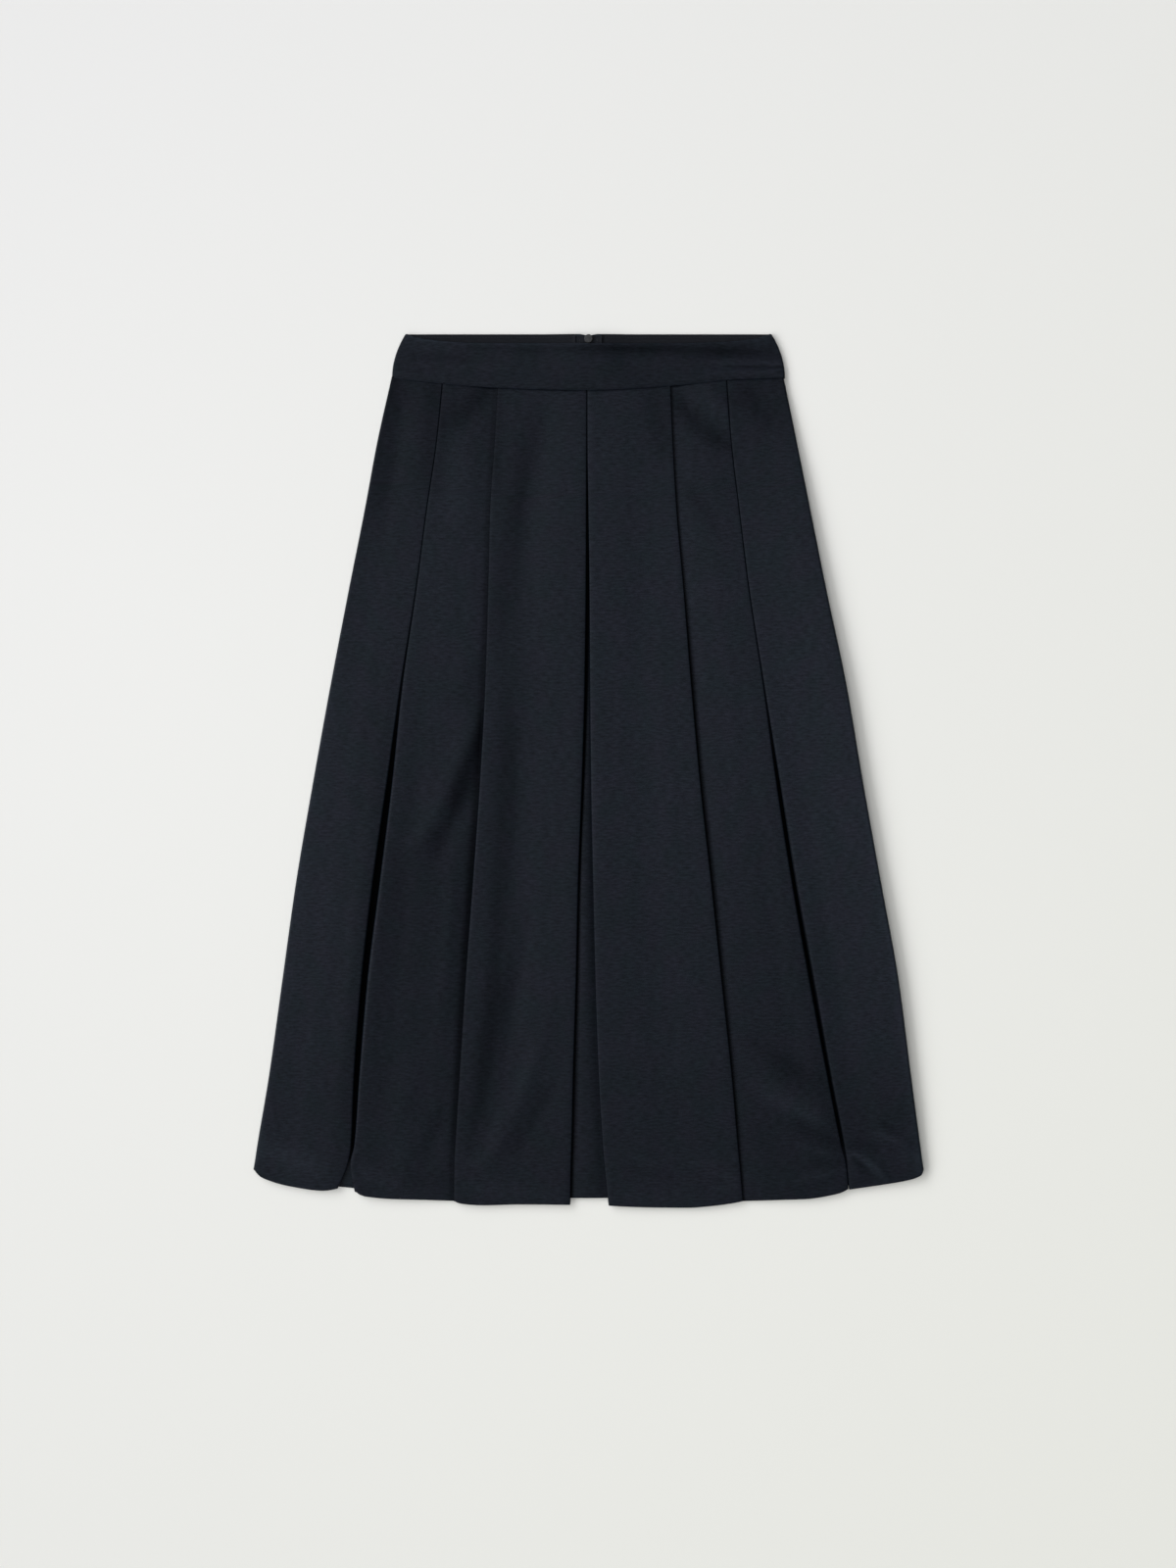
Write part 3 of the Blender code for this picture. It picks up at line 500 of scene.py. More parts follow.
# The lines of the underlay that shows in a gap: margins beyond it, and shares of its width.
UNDERLAY_SHARES = (0, 0.12, 0.24, 0.36, 0.5, 0.64, 0.76, 0.88, 1)
UNDERLAY_LINES = ((-1, 0), *((0, share) for share in UNDERLAY_SHARES), (1, 1))

# How the underlay of the centre pleat bulges, and the light that it keeps.
UNDERLAY_BULGE = 1.7
BULGE_SHARE = 0.12
UNDERLAY_LIGHT = 0.8
UNDERLAY_SHADE = 0.8
UNDERLAY_SHADE_WIDTH = 11.0

# How a panel starts at its seam, how far a fold's dark starts from it, and the side edges.
TOP_DROP = 0.9
OVERLAP_START = 0.8
HEM_SHARE_LEVEL = 503
ROLL_SPLIT = 0.06
ROLL_ANGLES = (90, 105, 120, 135, 150, 165)
SHARP_ROLL = 1.7
CORNER_DOWN = 766.0
CORNER_SPAN = 75.0
BACK_SPAN = 310.0

# The rows of a skirt wall: at these distances from its seam and its hem, and even between them.
SEAM_ROWS = (0.0, 0.7, 1.5, 2.6, 4.5)
HEM_ROWS = (*range(60, 45, -3), *range(45, 37, -2), *range(37, 4, -3), 4.5, 2.5, 1, 0)
BETWEEN_ROWS = 84
SEAM_DROP_WIDTH = 1.4
HEM_STEP = 0.16
HEM_STEP_WIDTH = 3.0
SEAM_SHADE = 0.55
SEAM_SHADE_WIDTH = 1.2

# The most that a wall's normal is stretched at a bend, and the turns of its rounded rims.
LEAST_STRETCH = 0.8
RIM_ANGLES = (40, 90, 140)

# The lines of a back half, from beside its side roll to the centre back seam.
BACK_MARGIN = 4.0
BACK_LINES = 34
CENTRE_BACK = 0.1
CENTRE_BACK_ROLL = (3.0, 1.2)

# The waistband's rows and lines, its edge at the seam and the ridge of the seam's allowance.
BAND_TOP_ROWS = (0.0, 0.8, 1.8, 3.5)
BAND_SEAM_ROWS = (6, 4, 2.4, 1.2, 0)
BAND_ROWS_BETWEEN = 16
BAND_LINES = 104
BAND_FLAT_END = 6.0
BAND_EDGE_DROP = 0.4
BAND_EDGE_WIDTH = 1.6
SEAM_RIDGE = 0.35
SEAM_RIDGE_PLACE = 5.0
SEAM_RIDGE_WIDTH = 4.0
BACK_BAND_LINES = 46

# The rows and lines of the facings and the zip tapes.
FACING_LINES = 44
TRIM_ROWS = 14
TAPE_LINES = 6

# Where the stitches run, and how far they sink into the cloth.
HEM_STITCH_PLACE = 39.0
STITCH_MARGIN = 6.0
STITCH_SINK = 0.06
PATH_STEPS = 60
TAPE_STITCH_ACROSS = 8.0
FACING_STITCH_DOWN = 2.6
FACING_STITCH_MARGIN = 1

# The slider's body, from its middle underneath to its middle on top, as radius and height.
SLIDER_PROFILE = table(
    "RoundPlace",
    "radius height",
    (0.0, 0.0), (3.4, 0.0), (3.85, 0.25), (4.0, 0.7), (4.0, 1.2), (3.8, 1.6), (3.4, 1.82),
    (2.9, 1.88), (2.5, 1.78), (1.7, 1.82), (1.2, 1.95), (0.6, 2.0), (0.0, 2.0),
)
ROUND_STEPS = 40
BRIDGE_STRAIGHT = 1.5
BRIDGE_CORNER = 0.9
BRIDGE_BEND = (0, 30, 60, 90)
BAR_CORNER = 0.15
BAR_STEPS = 2
PULL_CORNER = 2.0
HOLE_CORNER = 0.5
PULL_EDGE = 0.22
CORNER_STEPS = 6

# The stage: its floor, its suns in degrees and its camera.
FLOOR_Z = -0.0002
# Where the floor's painted light is brightest.
FLOOR_LIGHTEST = (-0.486, 0.1, 0.0)
SUN_SIDES = (-38.0, 0.0, 38.0)
SUN_AZIMUTH = 170.0
SUN_HEIGHT = 31.0
SUN_SPREAD = 34.0
TOP_SPREAD = 60.0
VIEW_CENTRE = (-0.00045, -0.01215)
SENSOR = 36.0
CLOTH_TOP = 0.0055

# The finishes. The sizes of grains are metres across and down, and the angles are degrees.
CLOUD_SIZE = (0.045, 0.03)
HUE_SIZE = (0.022, 0.03)
HUE_EDGES = (0.35, 0.65)
YARNS_LONG = 3
YARNS_WIDE = 2
TWILL_ANGLE = 58
SLUB_RISE = 1.2
RIB_RISE = 0.25
YARN_RISE = 0.5
SHEEN_TINT = (0.55, 0.66, 0.85, 1.0)
TAPE_RIB = 0.0009
TAPE_RIB_ANGLE = 20
TAPE_GRAIN_RISE = 0.6
FILL_COLOR = (1.0, 1.0, 0.985, 1.0)

# A wave texture has one rib in this share of its scale's unit.
RIB_SCALE = 0.314

# A point of a wall's middle, the light it keeps and what the hem adds to the wall's thickness.
Point = namedtuple("Point", "across down height light extra", defaults=(1.0, 0.0))

SIDES = {"left": -1, "right": 1}
SEAMED_PANELS = {"panel_1": "left_side", "panel_6": "right_side"}
WEAVE_MAP = "weave"
# The attribute that holds each point's painted light and shade.
SHADE = "shade"


def curve(rows, key, value, level):
    """The value of a table's column at a level, on a smooth line that never passes its rows."""
    last = len(rows) - 1
    low = 0
    while low < last - 1 and level > getattr(rows[low + 1], key):
        low += 1
    at = getattr(rows[low], key), getattr(rows[low + 1], key)
    ends = getattr(rows[low], value), getattr(rows[low + 1], value)
    span = at[1] - at[0]
    slope = (ends[1] - ends[0]) / span
    share = (level - at[0]) / span
    if share < 0 or share > 1:
        return ends[0] + share * (ends[1] - ends[0])

    def joined(neighbour):
        if not 0 <= neighbour < last:
            return slope
        width = getattr(rows[neighbour + 1], key) - getattr(rows[neighbour], key)
        other = (getattr(rows[neighbour + 1], value) - getattr(rows[neighbour], value)) / width
        return 2 * slope * other / (slope + other) if slope * other > 0 else 0.0

    start, end = joined(low - 1) * span, joined(low + 1) * span
    square, cube = share * share, share * share * share
    return (
        ends[0] * (2 * cube - 3 * square + 1)
        + start * (cube - 2 * square + share)
        + ends[1] * (3 * square - 2 * cube)
        + end * (cube - square)
    )


def clamp(value):
    return min(max(value, 0.0), 1.0)


def bell(aside):
    """How much of a soft shape is left beside its middle, at a distance in widths."""
    return math.exp(-aside * aside)


def evenly(start, end, count):
    """The places from a start to an end, in equal steps."""
    return [start + (end - start) * index / count for index in range(count + 1)]


def as_rows(columns):
    return [list(row) for row in zip(*columns)]


def smooth(value):
    share = clamp(value)
    return share * share * (3 - 2 * share)


def edge(name, down):
    return curve(LEVELS, "down", name, down)


def rise(name, down):
    return max(curve(RISES, "down", name, down), 0.0)


def darkness(name, down):
    return clamp(curve(DARKS, "down", name, down))


def layer_gap(down):
    return curve(SETTLES, "down", "layer", down)


def panel_level(down):
    """The level of a panel's middle over a pleat's two layers."""
    return UNDERLAY_Z + 2 * layer_gap(down)


def over_zip(across, down):
    """How far the front is lifted by the zip tapes under it."""
    amount = clamp(curve(LIFTS, "down", "over_zip", down) / LIFTS[0].over_zip)
    return LIFTS[0].over_zip * amount * smooth((LIFT_END - abs(across)) / (LIFT_END - LIFT_FLAT))


def pull_hump(across, down):
    """How far the waistband is lifted by the pull tab under it."""
    along = smooth((BACK_SEAM_CENTRE - down) / (BACK_SEAM_CENTRE - HUMP_FULL_TO))
    return HUMP * along * smooth((HUMP_END - abs(across)) / (HUMP_END - HUMP_FLAT))


def pleat_depth(down):
    share = (down - LEVELS[0].down) / (LENGTH - LEVELS[0].down)
    return PLEAT_DEPTH_WAIST + share * (PLEAT_DEPTH_HEM - PLEAT_DEPTH_WAIST)


def hem_at(panel, share):
    return curve(PANEL_HEMS[panel], "share", "down", share)


def front_seam(across):
    inside = min(max(across, -BAND_HALF_BOTTOM), BAND_HALF_BOTTOM)
    return curve(FRONT_SEAM, "across", "down", inside)


def back_seam(across):
    share = abs(across) / BAND_HALF_BOTTOM
    return BACK_SEAM_CENTRE + share * (BACK_SEAM_SIDE - BACK_SEAM_CENTRE)


def crease_height(piece, across, down):
    """What the soft folds of a piece add to its height at a point."""
    strength = bpy.context.scene.skirt_cloth.fold_strength
    total = 0.0
    for points in FOLDS.get(piece, ()):
        if not points[0].down < down < points[-1].down:
            continue
        aside = across - curve(points, "down", "across", down)
        width = curve(points, "down", "after" if aside > 0 else "before", down)
        total += curve(points, "down", "height", down) * bell(aside / width)
    for crease in CREASES.get(piece, ()):
        total += crease.height * beside_line(crease, across, down)
    return total * strength


def beside_line(line, across, down):
    """How strongly a crease or a painted line of light and shade is felt at a point, from 0 to 1."""
    along_x = line.across_b - line.across_a
    along_y = line.down_b - line.down_a
    length = math.hypot(along_x, along_y)
    from_x, from_y = across - line.across_a, down - line.down_a
    share = (from_x * along_x + from_y * along_y) / (length * length)
    if not 0 < share < 1:
        return 0.0
    aside = (from_x * along_y - from_y * along_x) / length
    aside -= line.bow * 4 * share * (1 - share)
    width = line.after if aside > 0 else line.before
    ends = smooth(share / CREASE_END) * smooth((1 - share) / CREASE_END)
    return ends * bell(aside / width)


def painted_line_light(piece, across, down):
    """The share of the light that a piece's painted lines of light and shade give at a point."""
    strength = bpy.context.scene.skirt_cloth.fold_strength
    total = sum(t.light * beside_line(t, across, down) for t in PAINTED_LINES.get(piece, ()))
    return 1 + total * strength


# The painted light and shade on a panel at a point: its share down the skirt, its painted lines, and
# more or less beside a side seam.
def painted_light(panel_name, across, down):
    lit = curve(PANEL_PAINTED_LIGHTS, "down", panel_name, down) * painted_line_light(panel_name, across, down)
    name = SEAMED_PANELS.get(panel_name)
    if not name:
        return lit
    aside = (across - edge(name, down)) / SIDE_LIGHT_WIDTH
    beside = curve(SIDE_LIFTS, "down", name + "_light", down)
    return lit * (1 + (beside - 1) * bell(aside))


class Station:
    """One line that runs down a wall: its place across, its height and its light at a level, and
    its hem."""

    def __init__(self, across, height, hem, light=None, seam_drop=0.0):
        self.across = across
        self.height = height
        self.hem = hem
        self.light = light or (lambda down: 1.0)
        self.seam_drop = seam_drop


def fold(edge_of, outward, upper, lower, hem, turns, half, shown=None):
    """The stations round a fold whose outside reaches edge_of, from its upper to its lower layer.
    Shown gives its line of pleats and its panel, where it shows."""
    stations = []
    for angle, fade in turns:
        turn = math.radians(angle)

        def light(down, fade=fade, angle=angle):
            if not shown:
                return fade
            line, panel_name = shown
            kept = fade + (1 - fade) * darkness(line, down) ** 2
            if outward < 0 and 0 <= angle < 90:
                kept *= max(curve(EDGE_LIGHTS, "down", line, down), 0.0)
            return kept * painted_light(panel_name, edge_of(down), down)

        def across(down, turn=turn):
            radius = (upper(down) - lower(down)) / 2
            centre = edge_of(down) - outward * (half + radius)
            return centre + outward * radius * math.cos(turn)

        def height(down, turn=turn):
            middle = (upper(down) + lower(down)) / 2
            return middle + (upper(down) - lower(down)) / 2 * math.sin(turn)

        stations.append(Station(across, height, hem, light))
    return stations


def layer_height(layer):
    """The height of a pleat's hidden layer: 0 is the underlay and 1 the return."""
    return lambda down: UNDERLAY_Z + layer * layer_gap(down)


def least_height(panel, across, down):
    """How low a panel's middle can lie: on the back, or on the pleat layers under its edges."""
    covered = max(pleat_beneath(panel, name, across, down) for name in (panel.left, panel.right))
    return LEAST_OPEN + covered * (panel_level(down) - LEAST_DEPTH - LEAST_OPEN)


def lies_over_pleat(panel, name):
    """Whether an edge of a panel is a folded one with its pleat beneath."""
    falls = panel.falls == ("left" if name == panel.left else "right")
    return name in ROUNDINGS and not falls


def pleat_beneath(panel, name, across, down):
    """Whether the pleat of one of a panel's edges lies beneath, from 0 for no to 1 for yes."""
    if not lies_over_pleat(panel, name):
        return 0.0
    reach = pleat_depth(down) + SAG_WIDTH - abs(across - edge(name, down))
    return smooth(reach / SAG_WIDTH)


def rested(height, least):
    """The height, softly kept from falling below the least."""
    over = (height - least) / REST_SOFTNESS
    if over > REST_CLEAR:
        return height
    return least + REST_SOFTNESS * math.log1p(math.exp(over))


def panel_height(panel, across, down):
    """The height of a panel's middle: level or falling, raised at its folds, with its creases."""
    left, right = edge(panel.left, down), edge(panel.right, down)
    share = (across - left) / (right - left)
    height = panel_level(down)
    if panel.left_rise:
        height += rise(panel.left_rise, down) * smooth(1 - share / RISE_SHARE)
    if panel.right_rise:
        height += rise(panel.right_rise, down) * smooth(1 - (1 - share) / RISE_SHARE)
    beneath = [pleat_beneath(panel, name, across, down) for name in (panel.left, panel.right)]
    for name, towards in ((panel.left, 1 - share), (panel.right, share)):
        if name.endswith("_side"):
            height += side_lift(name, down) * smooth(towards)
            beneath.append(smooth(1 - abs(across - edge(name, down)) / SIDE_SUPPORT))
    height -= curve(SETTLES, "down", "sag", down) * (1 - max(beneath))
    if panel.falls:
        along = share if panel.falls == "right" else 1 - share
        aside = abs(across - (right if panel.falls == "right" else left))
        broad = smooth((along - FALL_START) / FALL_SHARE)
        steep = bell(aside / FALL_STEEP_WIDTH)
        deep = 2 * layer_gap(down) - curve(SETTLES, "down", "sag", down)
        height -= deep * (FALL_BROAD * broad + (1 - FALL_BROAD) * steep)
    height += crease_height(panel.name, across, down)
    return rested(height, least_height(panel, across, down))


def side_lift(name, down):
    return max(curve(SIDE_LIFTS, "down", name, down), 0.0)


def side_level(name):
    """The level of the front at a side seam."""
    return lambda down: panel_level(down) + side_lift(name, down)


def edge_drop(panel, across, down):
    """A folded edge rounds down towards its fold."""
    total = 0.0
    sides = ((panel.left, panel.left_rise), (panel.right, panel.right_rise))
    for name, rise_name in sides:
        if not lies_over_pleat(panel, name):
            continue
        lifted = rise(rise_name, down) if rise_name else 0.0
        rounding = ROUNDINGS[name]
        aside = abs(across - edge(name, down)) / rounding.width
        total += (rounding.drop + rounding.share * lifted) * bell(aside)
    return total


def top_height(panel, across, down):
    return panel_height(panel, across, down) - edge_drop(panel, across, down)


def folded_top(panel, edge_name):
    """The height of a panel's middle along one of its folded edges."""
    return lambda down: top_height(panel, edge(edge_name, down), down)


def inverted_pleat(name, left_panel, right_panel, half):
    """Two folded edges that meet over an underlay, from the left panel's edge to the right one's."""
    hidden = HIDDEN_HEMS[name]
    middle_layer = layer_height(1)
    underlay = layer_height(0)
    left_edge = lambda down: edge(name + "_a", down)
    right_edge = lambda down: edge(name + "_b", down)
    left_end = lambda down: left_edge(down) - pleat_depth(down)
    right_end = lambda down: right_edge(down) + pleat_depth(down)
    left_top = folded_top(left_panel, name + "_a")
    right_top = folded_top(right_panel, name + "_b")
    hem_a, hem_b = hem_at(left_panel.name, 1), hem_at(right_panel.name, 0)
    shown = (name, left_panel.name)
    stations = fold(left_edge, 1, left_top, middle_layer, hem_a, SHOWN_FOLD, half, shown)
    stations += fold(left_end, -1, middle_layer, underlay, hidden, HIDDEN_FOLD, half)
    for beyond, share in UNDERLAY_LINES:

        def across(down, beyond=beyond, share=share):
            inside = left_edge(down) + share * (right_edge(down) - left_edge(down))
            return inside + beyond * MARGIN_LINES[0]

        def light(down, across=across):
            dark = darkness(name, down)
            if name == "centre":
                beside = (across(down) - left_edge(down)) / dark_width(name, down)
                before = (right_edge(down) - across(down)) / UNDERLAY_SHADE_WIDTH
                lit = smooth(beside * 2 - 1) * (UNDERLAY_SHADE + (1 - UNDERLAY_SHADE) * smooth(before))
                return dark + (UNDERLAY_LIGHT - dark) * lit
            return dark

        def height(down, share=share):
            wide = right_edge(down) - left_edge(down)
            bulge = min(UNDERLAY_BULGE, wide * BULGE_SHARE) if name == "centre" else 0.0
            return underlay(down) + bulge * 4 * share * (1 - share)

        stations.append(Station(across, height, hidden, light))
    shown = (name, right_panel.name)
    stations += reversed(fold(right_end, 1, middle_layer, underlay, hidden, HIDDEN_FOLD, half))
    stations += reversed(
        fold(right_edge, -1, right_top, middle_layer, hem_b, SHOWN_FOLD, half, shown)
    )
    return stations


def dark_width(name, down):
    return curve(DARK_WIDTHS, "down", name, down)


def knife_pleat(name, outward, top_panel, low_panel, half):
    """One panel lies over its neighbour, which runs on under it and folds back to its edge."""
    hidden = HIDDEN_HEMS[name]
    panel_edge = lambda down: edge(name, down)
    under_end = lambda down: edge(name, down) - outward * pleat_depth(down)
    low_share = 1 if outward < 0 else 0
    top_hem = hem_at(top_panel.name, 1 - low_share)
    low_hem = hem_at(low_panel.name, low_share)
    top = folded_top(top_panel, name)
    shown = (name, top_panel.name)
    turned = fold(panel_edge, outward, top, layer_height(1), top_hem, SHOWN_FOLD, half, shown)
    turned += fold(
        under_end, -outward, layer_height(1), layer_height(0), hidden, HIDDEN_FOLD, half
    )
    turned.append(
        Station(panel_edge, layer_height(0), low_hem, lambda down: darkness(name, down))
    )
    return turned if outward > 0 else list(reversed(turned))


def panel_lines(panel):
    """The stations of a panel that shows: close together at its margins, even between them."""
    last = MARGIN_LINES[-1]
    places = [(offset, 0.0) for offset in MARGIN_LINES[:-1]]
    places += [(None, index / (panel.lines - 1)) for index in range(panel.lines)]
    places += [(offset, 1.0) for offset in reversed(MARGIN_LINES[:-1])]
    stations = []
    for offset, share in places:

        def across(down, offset=offset, share=share):
            start, end = edge(panel.left, down), edge(panel.right, down)
            if offset is None:
                return start + last + share * (end - start - 2 * last)
            return end - offset if share else start + offset

        def height(down, across=across):
            return top_height(panel, across(down), down)

        def light(down, across=across):
            lit = painted_light(panel.name, across(down), down)
            if not panel.falls:
                return lit
            name = panel.right if panel.falls == "right" else panel.left
            beside = (abs(across(down) - edge(name, down)) - OVERLAP_START) / dark_width(name, down)
            dark = darkness(name, down)
            return lit * (dark + (1 - dark) * smooth(beside))

        middle = HEM_SHARE_LEVEL
        width = edge(panel.right, middle) - edge(panel.left, middle)
        hem_share = clamp((across(middle) - edge(panel.left, middle)) / width)
        stations.append(Station(across, height, hem_at(panel.name, hem_share), light, TOP_DROP))
    return stations


def side_roll(side_name, upper_half, half):
    """The rounded side edge, from the top or the underside to the seam half way up it."""
    side, name = SIDES[side_name], side_name + "_side"
    panel_name = "panel_1" if side < 0 else "panel_6"
    upper = side_level(name)
    middle = lambda down: (upper(down) + BACK_Z) / 2
    light = lambda down: painted_light(panel_name, edge(name, down), down)
    stations = []
    for angle in ROLL_ANGLES:
        turn = math.radians(angle if upper_half else -angle)

        def inset(down, turn=turn):
            reach = (upper(down) - BACK_Z) / 2
            if upper_half:
                reach = min(reach, SHARP_ROLL)
            return half + reach * (1 - abs(math.cos(turn)))

        def height(down, turn=turn):
            return middle(down) + (upper(down) - BACK_Z) / 2 * math.sin(turn)

        across = lambda down, inset=inset: edge(name, down) - side * inset(down)
        hem = hem_beside(panel_name if upper_half else "back", inset(CORNER_DOWN) - half)
        stations.append(Station(across, height, hem, light))
    end = ROLL_SPLIT if upper_half else -ROLL_SPLIT
    outer = lambda down: edge(name, down) - side * half
    seam = lambda down: middle(down) + end
    stations.append(Station(outer, seam, hem_beside(panel_name, 0.0), light))
    return stations


def hem_beside(panel_name, inset):
    """The hem at a distance in from the side seam."""
    share = inset / (BACK_SPAN if panel_name == "back" else CORNER_SPAN)
    return hem_at(panel_name, 1 - share if panel_name == "panel_6" else share)


def front_stations(half):
    """The lines of the front, from its left side roll to its right one."""
    one, two, three, four, five, six = PANELS
    return [
        *reversed(side_roll("left", True, half)),
        *panel_lines(one),
        *inverted_pleat("outer_left", one, two, half),
        *panel_lines(two),
        *knife_pleat("inner_left", -1, three, two, half),
        *panel_lines(three),
        *inverted_pleat("centre", three, four, half),
        *panel_lines(four),
        *knife_pleat("inner_right", 1, four, five, half),
        *panel_lines(five),
        *inverted_pleat("outer_right", five, six, half),
        *panel_lines(six),
        *side_roll("right", True, half),
    ]


def back_stations(side_name, half):
    """The lines of one half of the back, from its side roll to the centre back seam."""
    side, name = SIDES[side_name], side_name + "_side"
    stations = list(reversed(side_roll(side_name, False, half)))
    flat = lambda down: edge(name, down) - side * (BACK_MARGIN + side_lift(name, down) / 2)
    for index in range(BACK_LINES):
        share = index / BACK_LINES
        across = lambda down, share=share: flat(down) * (1 - share)
        height = lambda down, across=across: BACK_Z + crease_height("back", abs(across(down)), down)
        hem = hem_beside("back", BACK_MARGIN + share * (BACK_SPAN - BACK_MARGIN))
        stations.append(Station(across, height, hem))
    under = lambda down: BACK_Z
    for place in (*CENTRE_BACK_ROLL, CENTRE_BACK):
        stations.append(Station(lambda down, place=place: side * place, under, hem_at("back", 1)))
    return stations


def row_places(top, bottom, top_rows, bottom_rows, between):
    """The levels of a station's rows from its top to its bottom."""
    start = top + top_rows[-1]
    end = bottom - bottom_rows[0]
    middle = evenly(start, end, between)[1:-1]
    return [top + place for place in top_rows] + middle + [bottom - place for place in bottom_rows]


def skirt_rows(stations, seam, hem_depth, hem_extra):
    """The points of a skirt wall's middle, one row after another."""
    columns = []
    for station in stations:
        top = seam(station.across(LEVELS[0].down)) + SEAM_GAP / 2
        column = []
        for down in row_places(top, station.hem, SEAM_ROWS, HEM_ROWS, BETWEEN_ROWS):
            across = station.across(down)
            height = station.height(down) + over_zip(across, down)
            height -= station.seam_drop * bell((down - top) / SEAM_DROP_WIDTH)
            in_hem = smooth((hem_depth - (station.hem - down)) / HEM_STEP_WIDTH)
            column.append(
                Point(
                    across,
                    down,
                    height + HEM_STEP * in_hem * (station.seam_drop > 0),
                    station.light(down) * seam_light(down - top),
                    hem_extra * in_hem,
                )
            )
        columns.append(column)
    return as_rows(columns)


def seam_light(distance):
    """The seam under the waistband keeps less light than the cloth below it."""
    return 1 - SEAM_SHADE * bell(distance / SEAM_SHADE_WIDTH)


def unit(x, z):
    length = math.hypot(x, z) or 1.0
    return x / length, z / length


def side_normals(row, first, last):
    """Unit normals in the plane of a row, each long enough to keep the wall's thickness."""
    normals = []
    count = len(row)
    for index in range(count):
        before = row[max(index - 1, 0)]
        here = row[index]
        after = row[min(index + 1, count - 1)]
        arrive = unit(here.across - before.across, here.height - before.height)
        leave = unit(after.across - here.across, after.height - here.height)
        if index == 0:
            arrive = leave
        if index == count - 1:
            leave = arrive
        along = unit(arrive[0] + leave[0], arrive[1] + leave[1])
        stretch = 1 / max(along[0] * leave[0] + along[1] * leave[1], LEAST_STRETCH)
        normals.append((-along[1] * stretch, along[0] * stretch))
    if first:
        normals[0] = first
    if last:
        normals[-1] = last
    return normals


def rim(above, below, outward):
    """The points of a rounded rim between the two faces of a wall."""
    middle = (above + below) / 2
    reach = (above - below) / 2
    points = []
    for angle in RIM_ANGLES:
        turn = math.radians(angle)
        points.append(middle + reach * math.cos(turn) + outward * reach.length * math.sin(turn))
    return points


def cloth_wall(name, rows, thickness, material, first=None, last=None):
    """A closed wall of cloth round the rows of its middle, with rounded rims, its weave map and the
    painted light and shade of each point."""
    half = thickness / 2
    middle = [[Vector((p.across, LENGTH / 2 - p.down, p.height)) for p in row] for row in rows]
    above, below, lengths = [], [], []
    for row, places in zip(rows, middle):
        normals = [Vector((x, 0, z)) for x, z in side_normals(row, first, last)]
        above.append([place + normal * half for place, normal in zip(places, normals)])
        below.append(
            [
                place - normal * (half + point.extra)
                for place, normal, point in zip(places, normals, row)
            ]
        )
        steps = [(places[i + 1] - places[i]).length for i in range(len(places) - 1)]
        travelled = np.concatenate([[0.0], np.cumsum(steps)])
        centre = min(range(len(row)), key=lambda index: abs(row[index].across))
        lengths.append(travelled - travelled[centre])
    last_row = len(rows) - 1
    points, weave, lights = [], [], []
    for column in range(len(rows[0])):
        loop = [(above[i][column], i) for i in range(last_row + 1)]
        outward = (middle[-1][column] - middle[-2][column]).normalized()
        loop += [(p, last_row) for p in rim(above[-1][column], below[-1][column], outward)]
        loop += [(below[i][column], i) for i in range(last_row, -1, -1)]
        outward = (middle[0][column] - middle[1][column]).normalized()
        loop += [(p, 0) for p in rim(below[0][column], above[0][column], outward)]
        for place, i in loop:
            points.append(place * MM)
            weave.append((lengths[i][column] * MM, place.y * MM))
            lights.append(rows[i][column].light)
    count = len(loop)
    faces = []
    for column in range(len(rows[0]) - 1):
        here, there = column * count, (column + 1) * count
        for i in range(count):
            after = (i + 1) % count
            faces.append((here + i, here + after, there + after, there + i))
    for start, turned in ((0, False), ((len(rows[0]) - 1) * count, True)):
        faces += end_cap(start, last_row + 1, count, turned)
    return cloth_object(name, points, faces, weave, lights, material)


def end_cap(start, rows, count, turned):
    """Faces that close the first or last loop of a wall, from rim to rim."""
    rims = len(RIM_ANGLES)
    upper = list(range(rows))
    lower = list(range(2 * rows + rims - 1, rows + rims - 1, -1))
    caps = []
    for i in range(rows - 1):
        caps.append((upper[i], lower[i], lower[i + 1], upper[i + 1]))
    caps.append((upper[-1], lower[-1], *range(lower[-1] - 1, upper[-1], -1)))
    caps.append((lower[0], upper[0], *range(count - 1, lower[0], -1)))
    if not turned:
        caps = [tuple(reversed(cap)) for cap in caps]
    return [tuple(start + index for index in cap) for cap in caps]


def enclosed_volume(points, faces):
    total = 0.0
    for face in faces:
        corner = points[face[0]]
        for i in range(1, len(face) - 1):
            total += corner.dot(points[face[i]].cross(points[face[i + 1]]))
    return total


def cloth_object(name, points, faces, weave, lights, material):
    if enclosed_volume(points, faces) < 0:
        faces = [tuple(reversed(face)) for face in faces]
    data = bpy.data.meshes.new(name)
    data.from_pydata(points, [], faces)
    data.polygons.foreach_set("use_smooth", [True] * len(faces))
    weave_map = data.uv_layers.new(name=WEAVE_MAP)
    corners = np.empty(len(data.loops), np.int32)
    data.loops.foreach_get("vertex_index", corners)
    weave_map.data.foreach_set("uv", np.array(weave, np.float32)[corners].ravel())
    shade = data.attributes.new(SHADE, "FLOAT", "POINT")
    shade.data.foreach_set("value", np.array(lights, np.float32))
    data.materials.append(material)
    data.update()
    return place_object(name, data)


def place_object(name, data):
    item = bpy.data.objects.new(name, data)
    bpy.context.scene.collection.objects.link(item)
    return item


def linked_object(name, mesh, material):
    """An object from a closed bmesh, with its faces turned outwards."""
    bmesh.ops.recalc_face_normals(mesh, faces=mesh.faces[:])
    data = bpy.data.meshes.new(name)
    mesh.to_mesh(data)
    mesh.free()
    data.materials.append(material)
    return place_object(name, data)


def declare_cloth(item, node):
    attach(item, SKIRT)
    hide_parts(node)


# Materials.


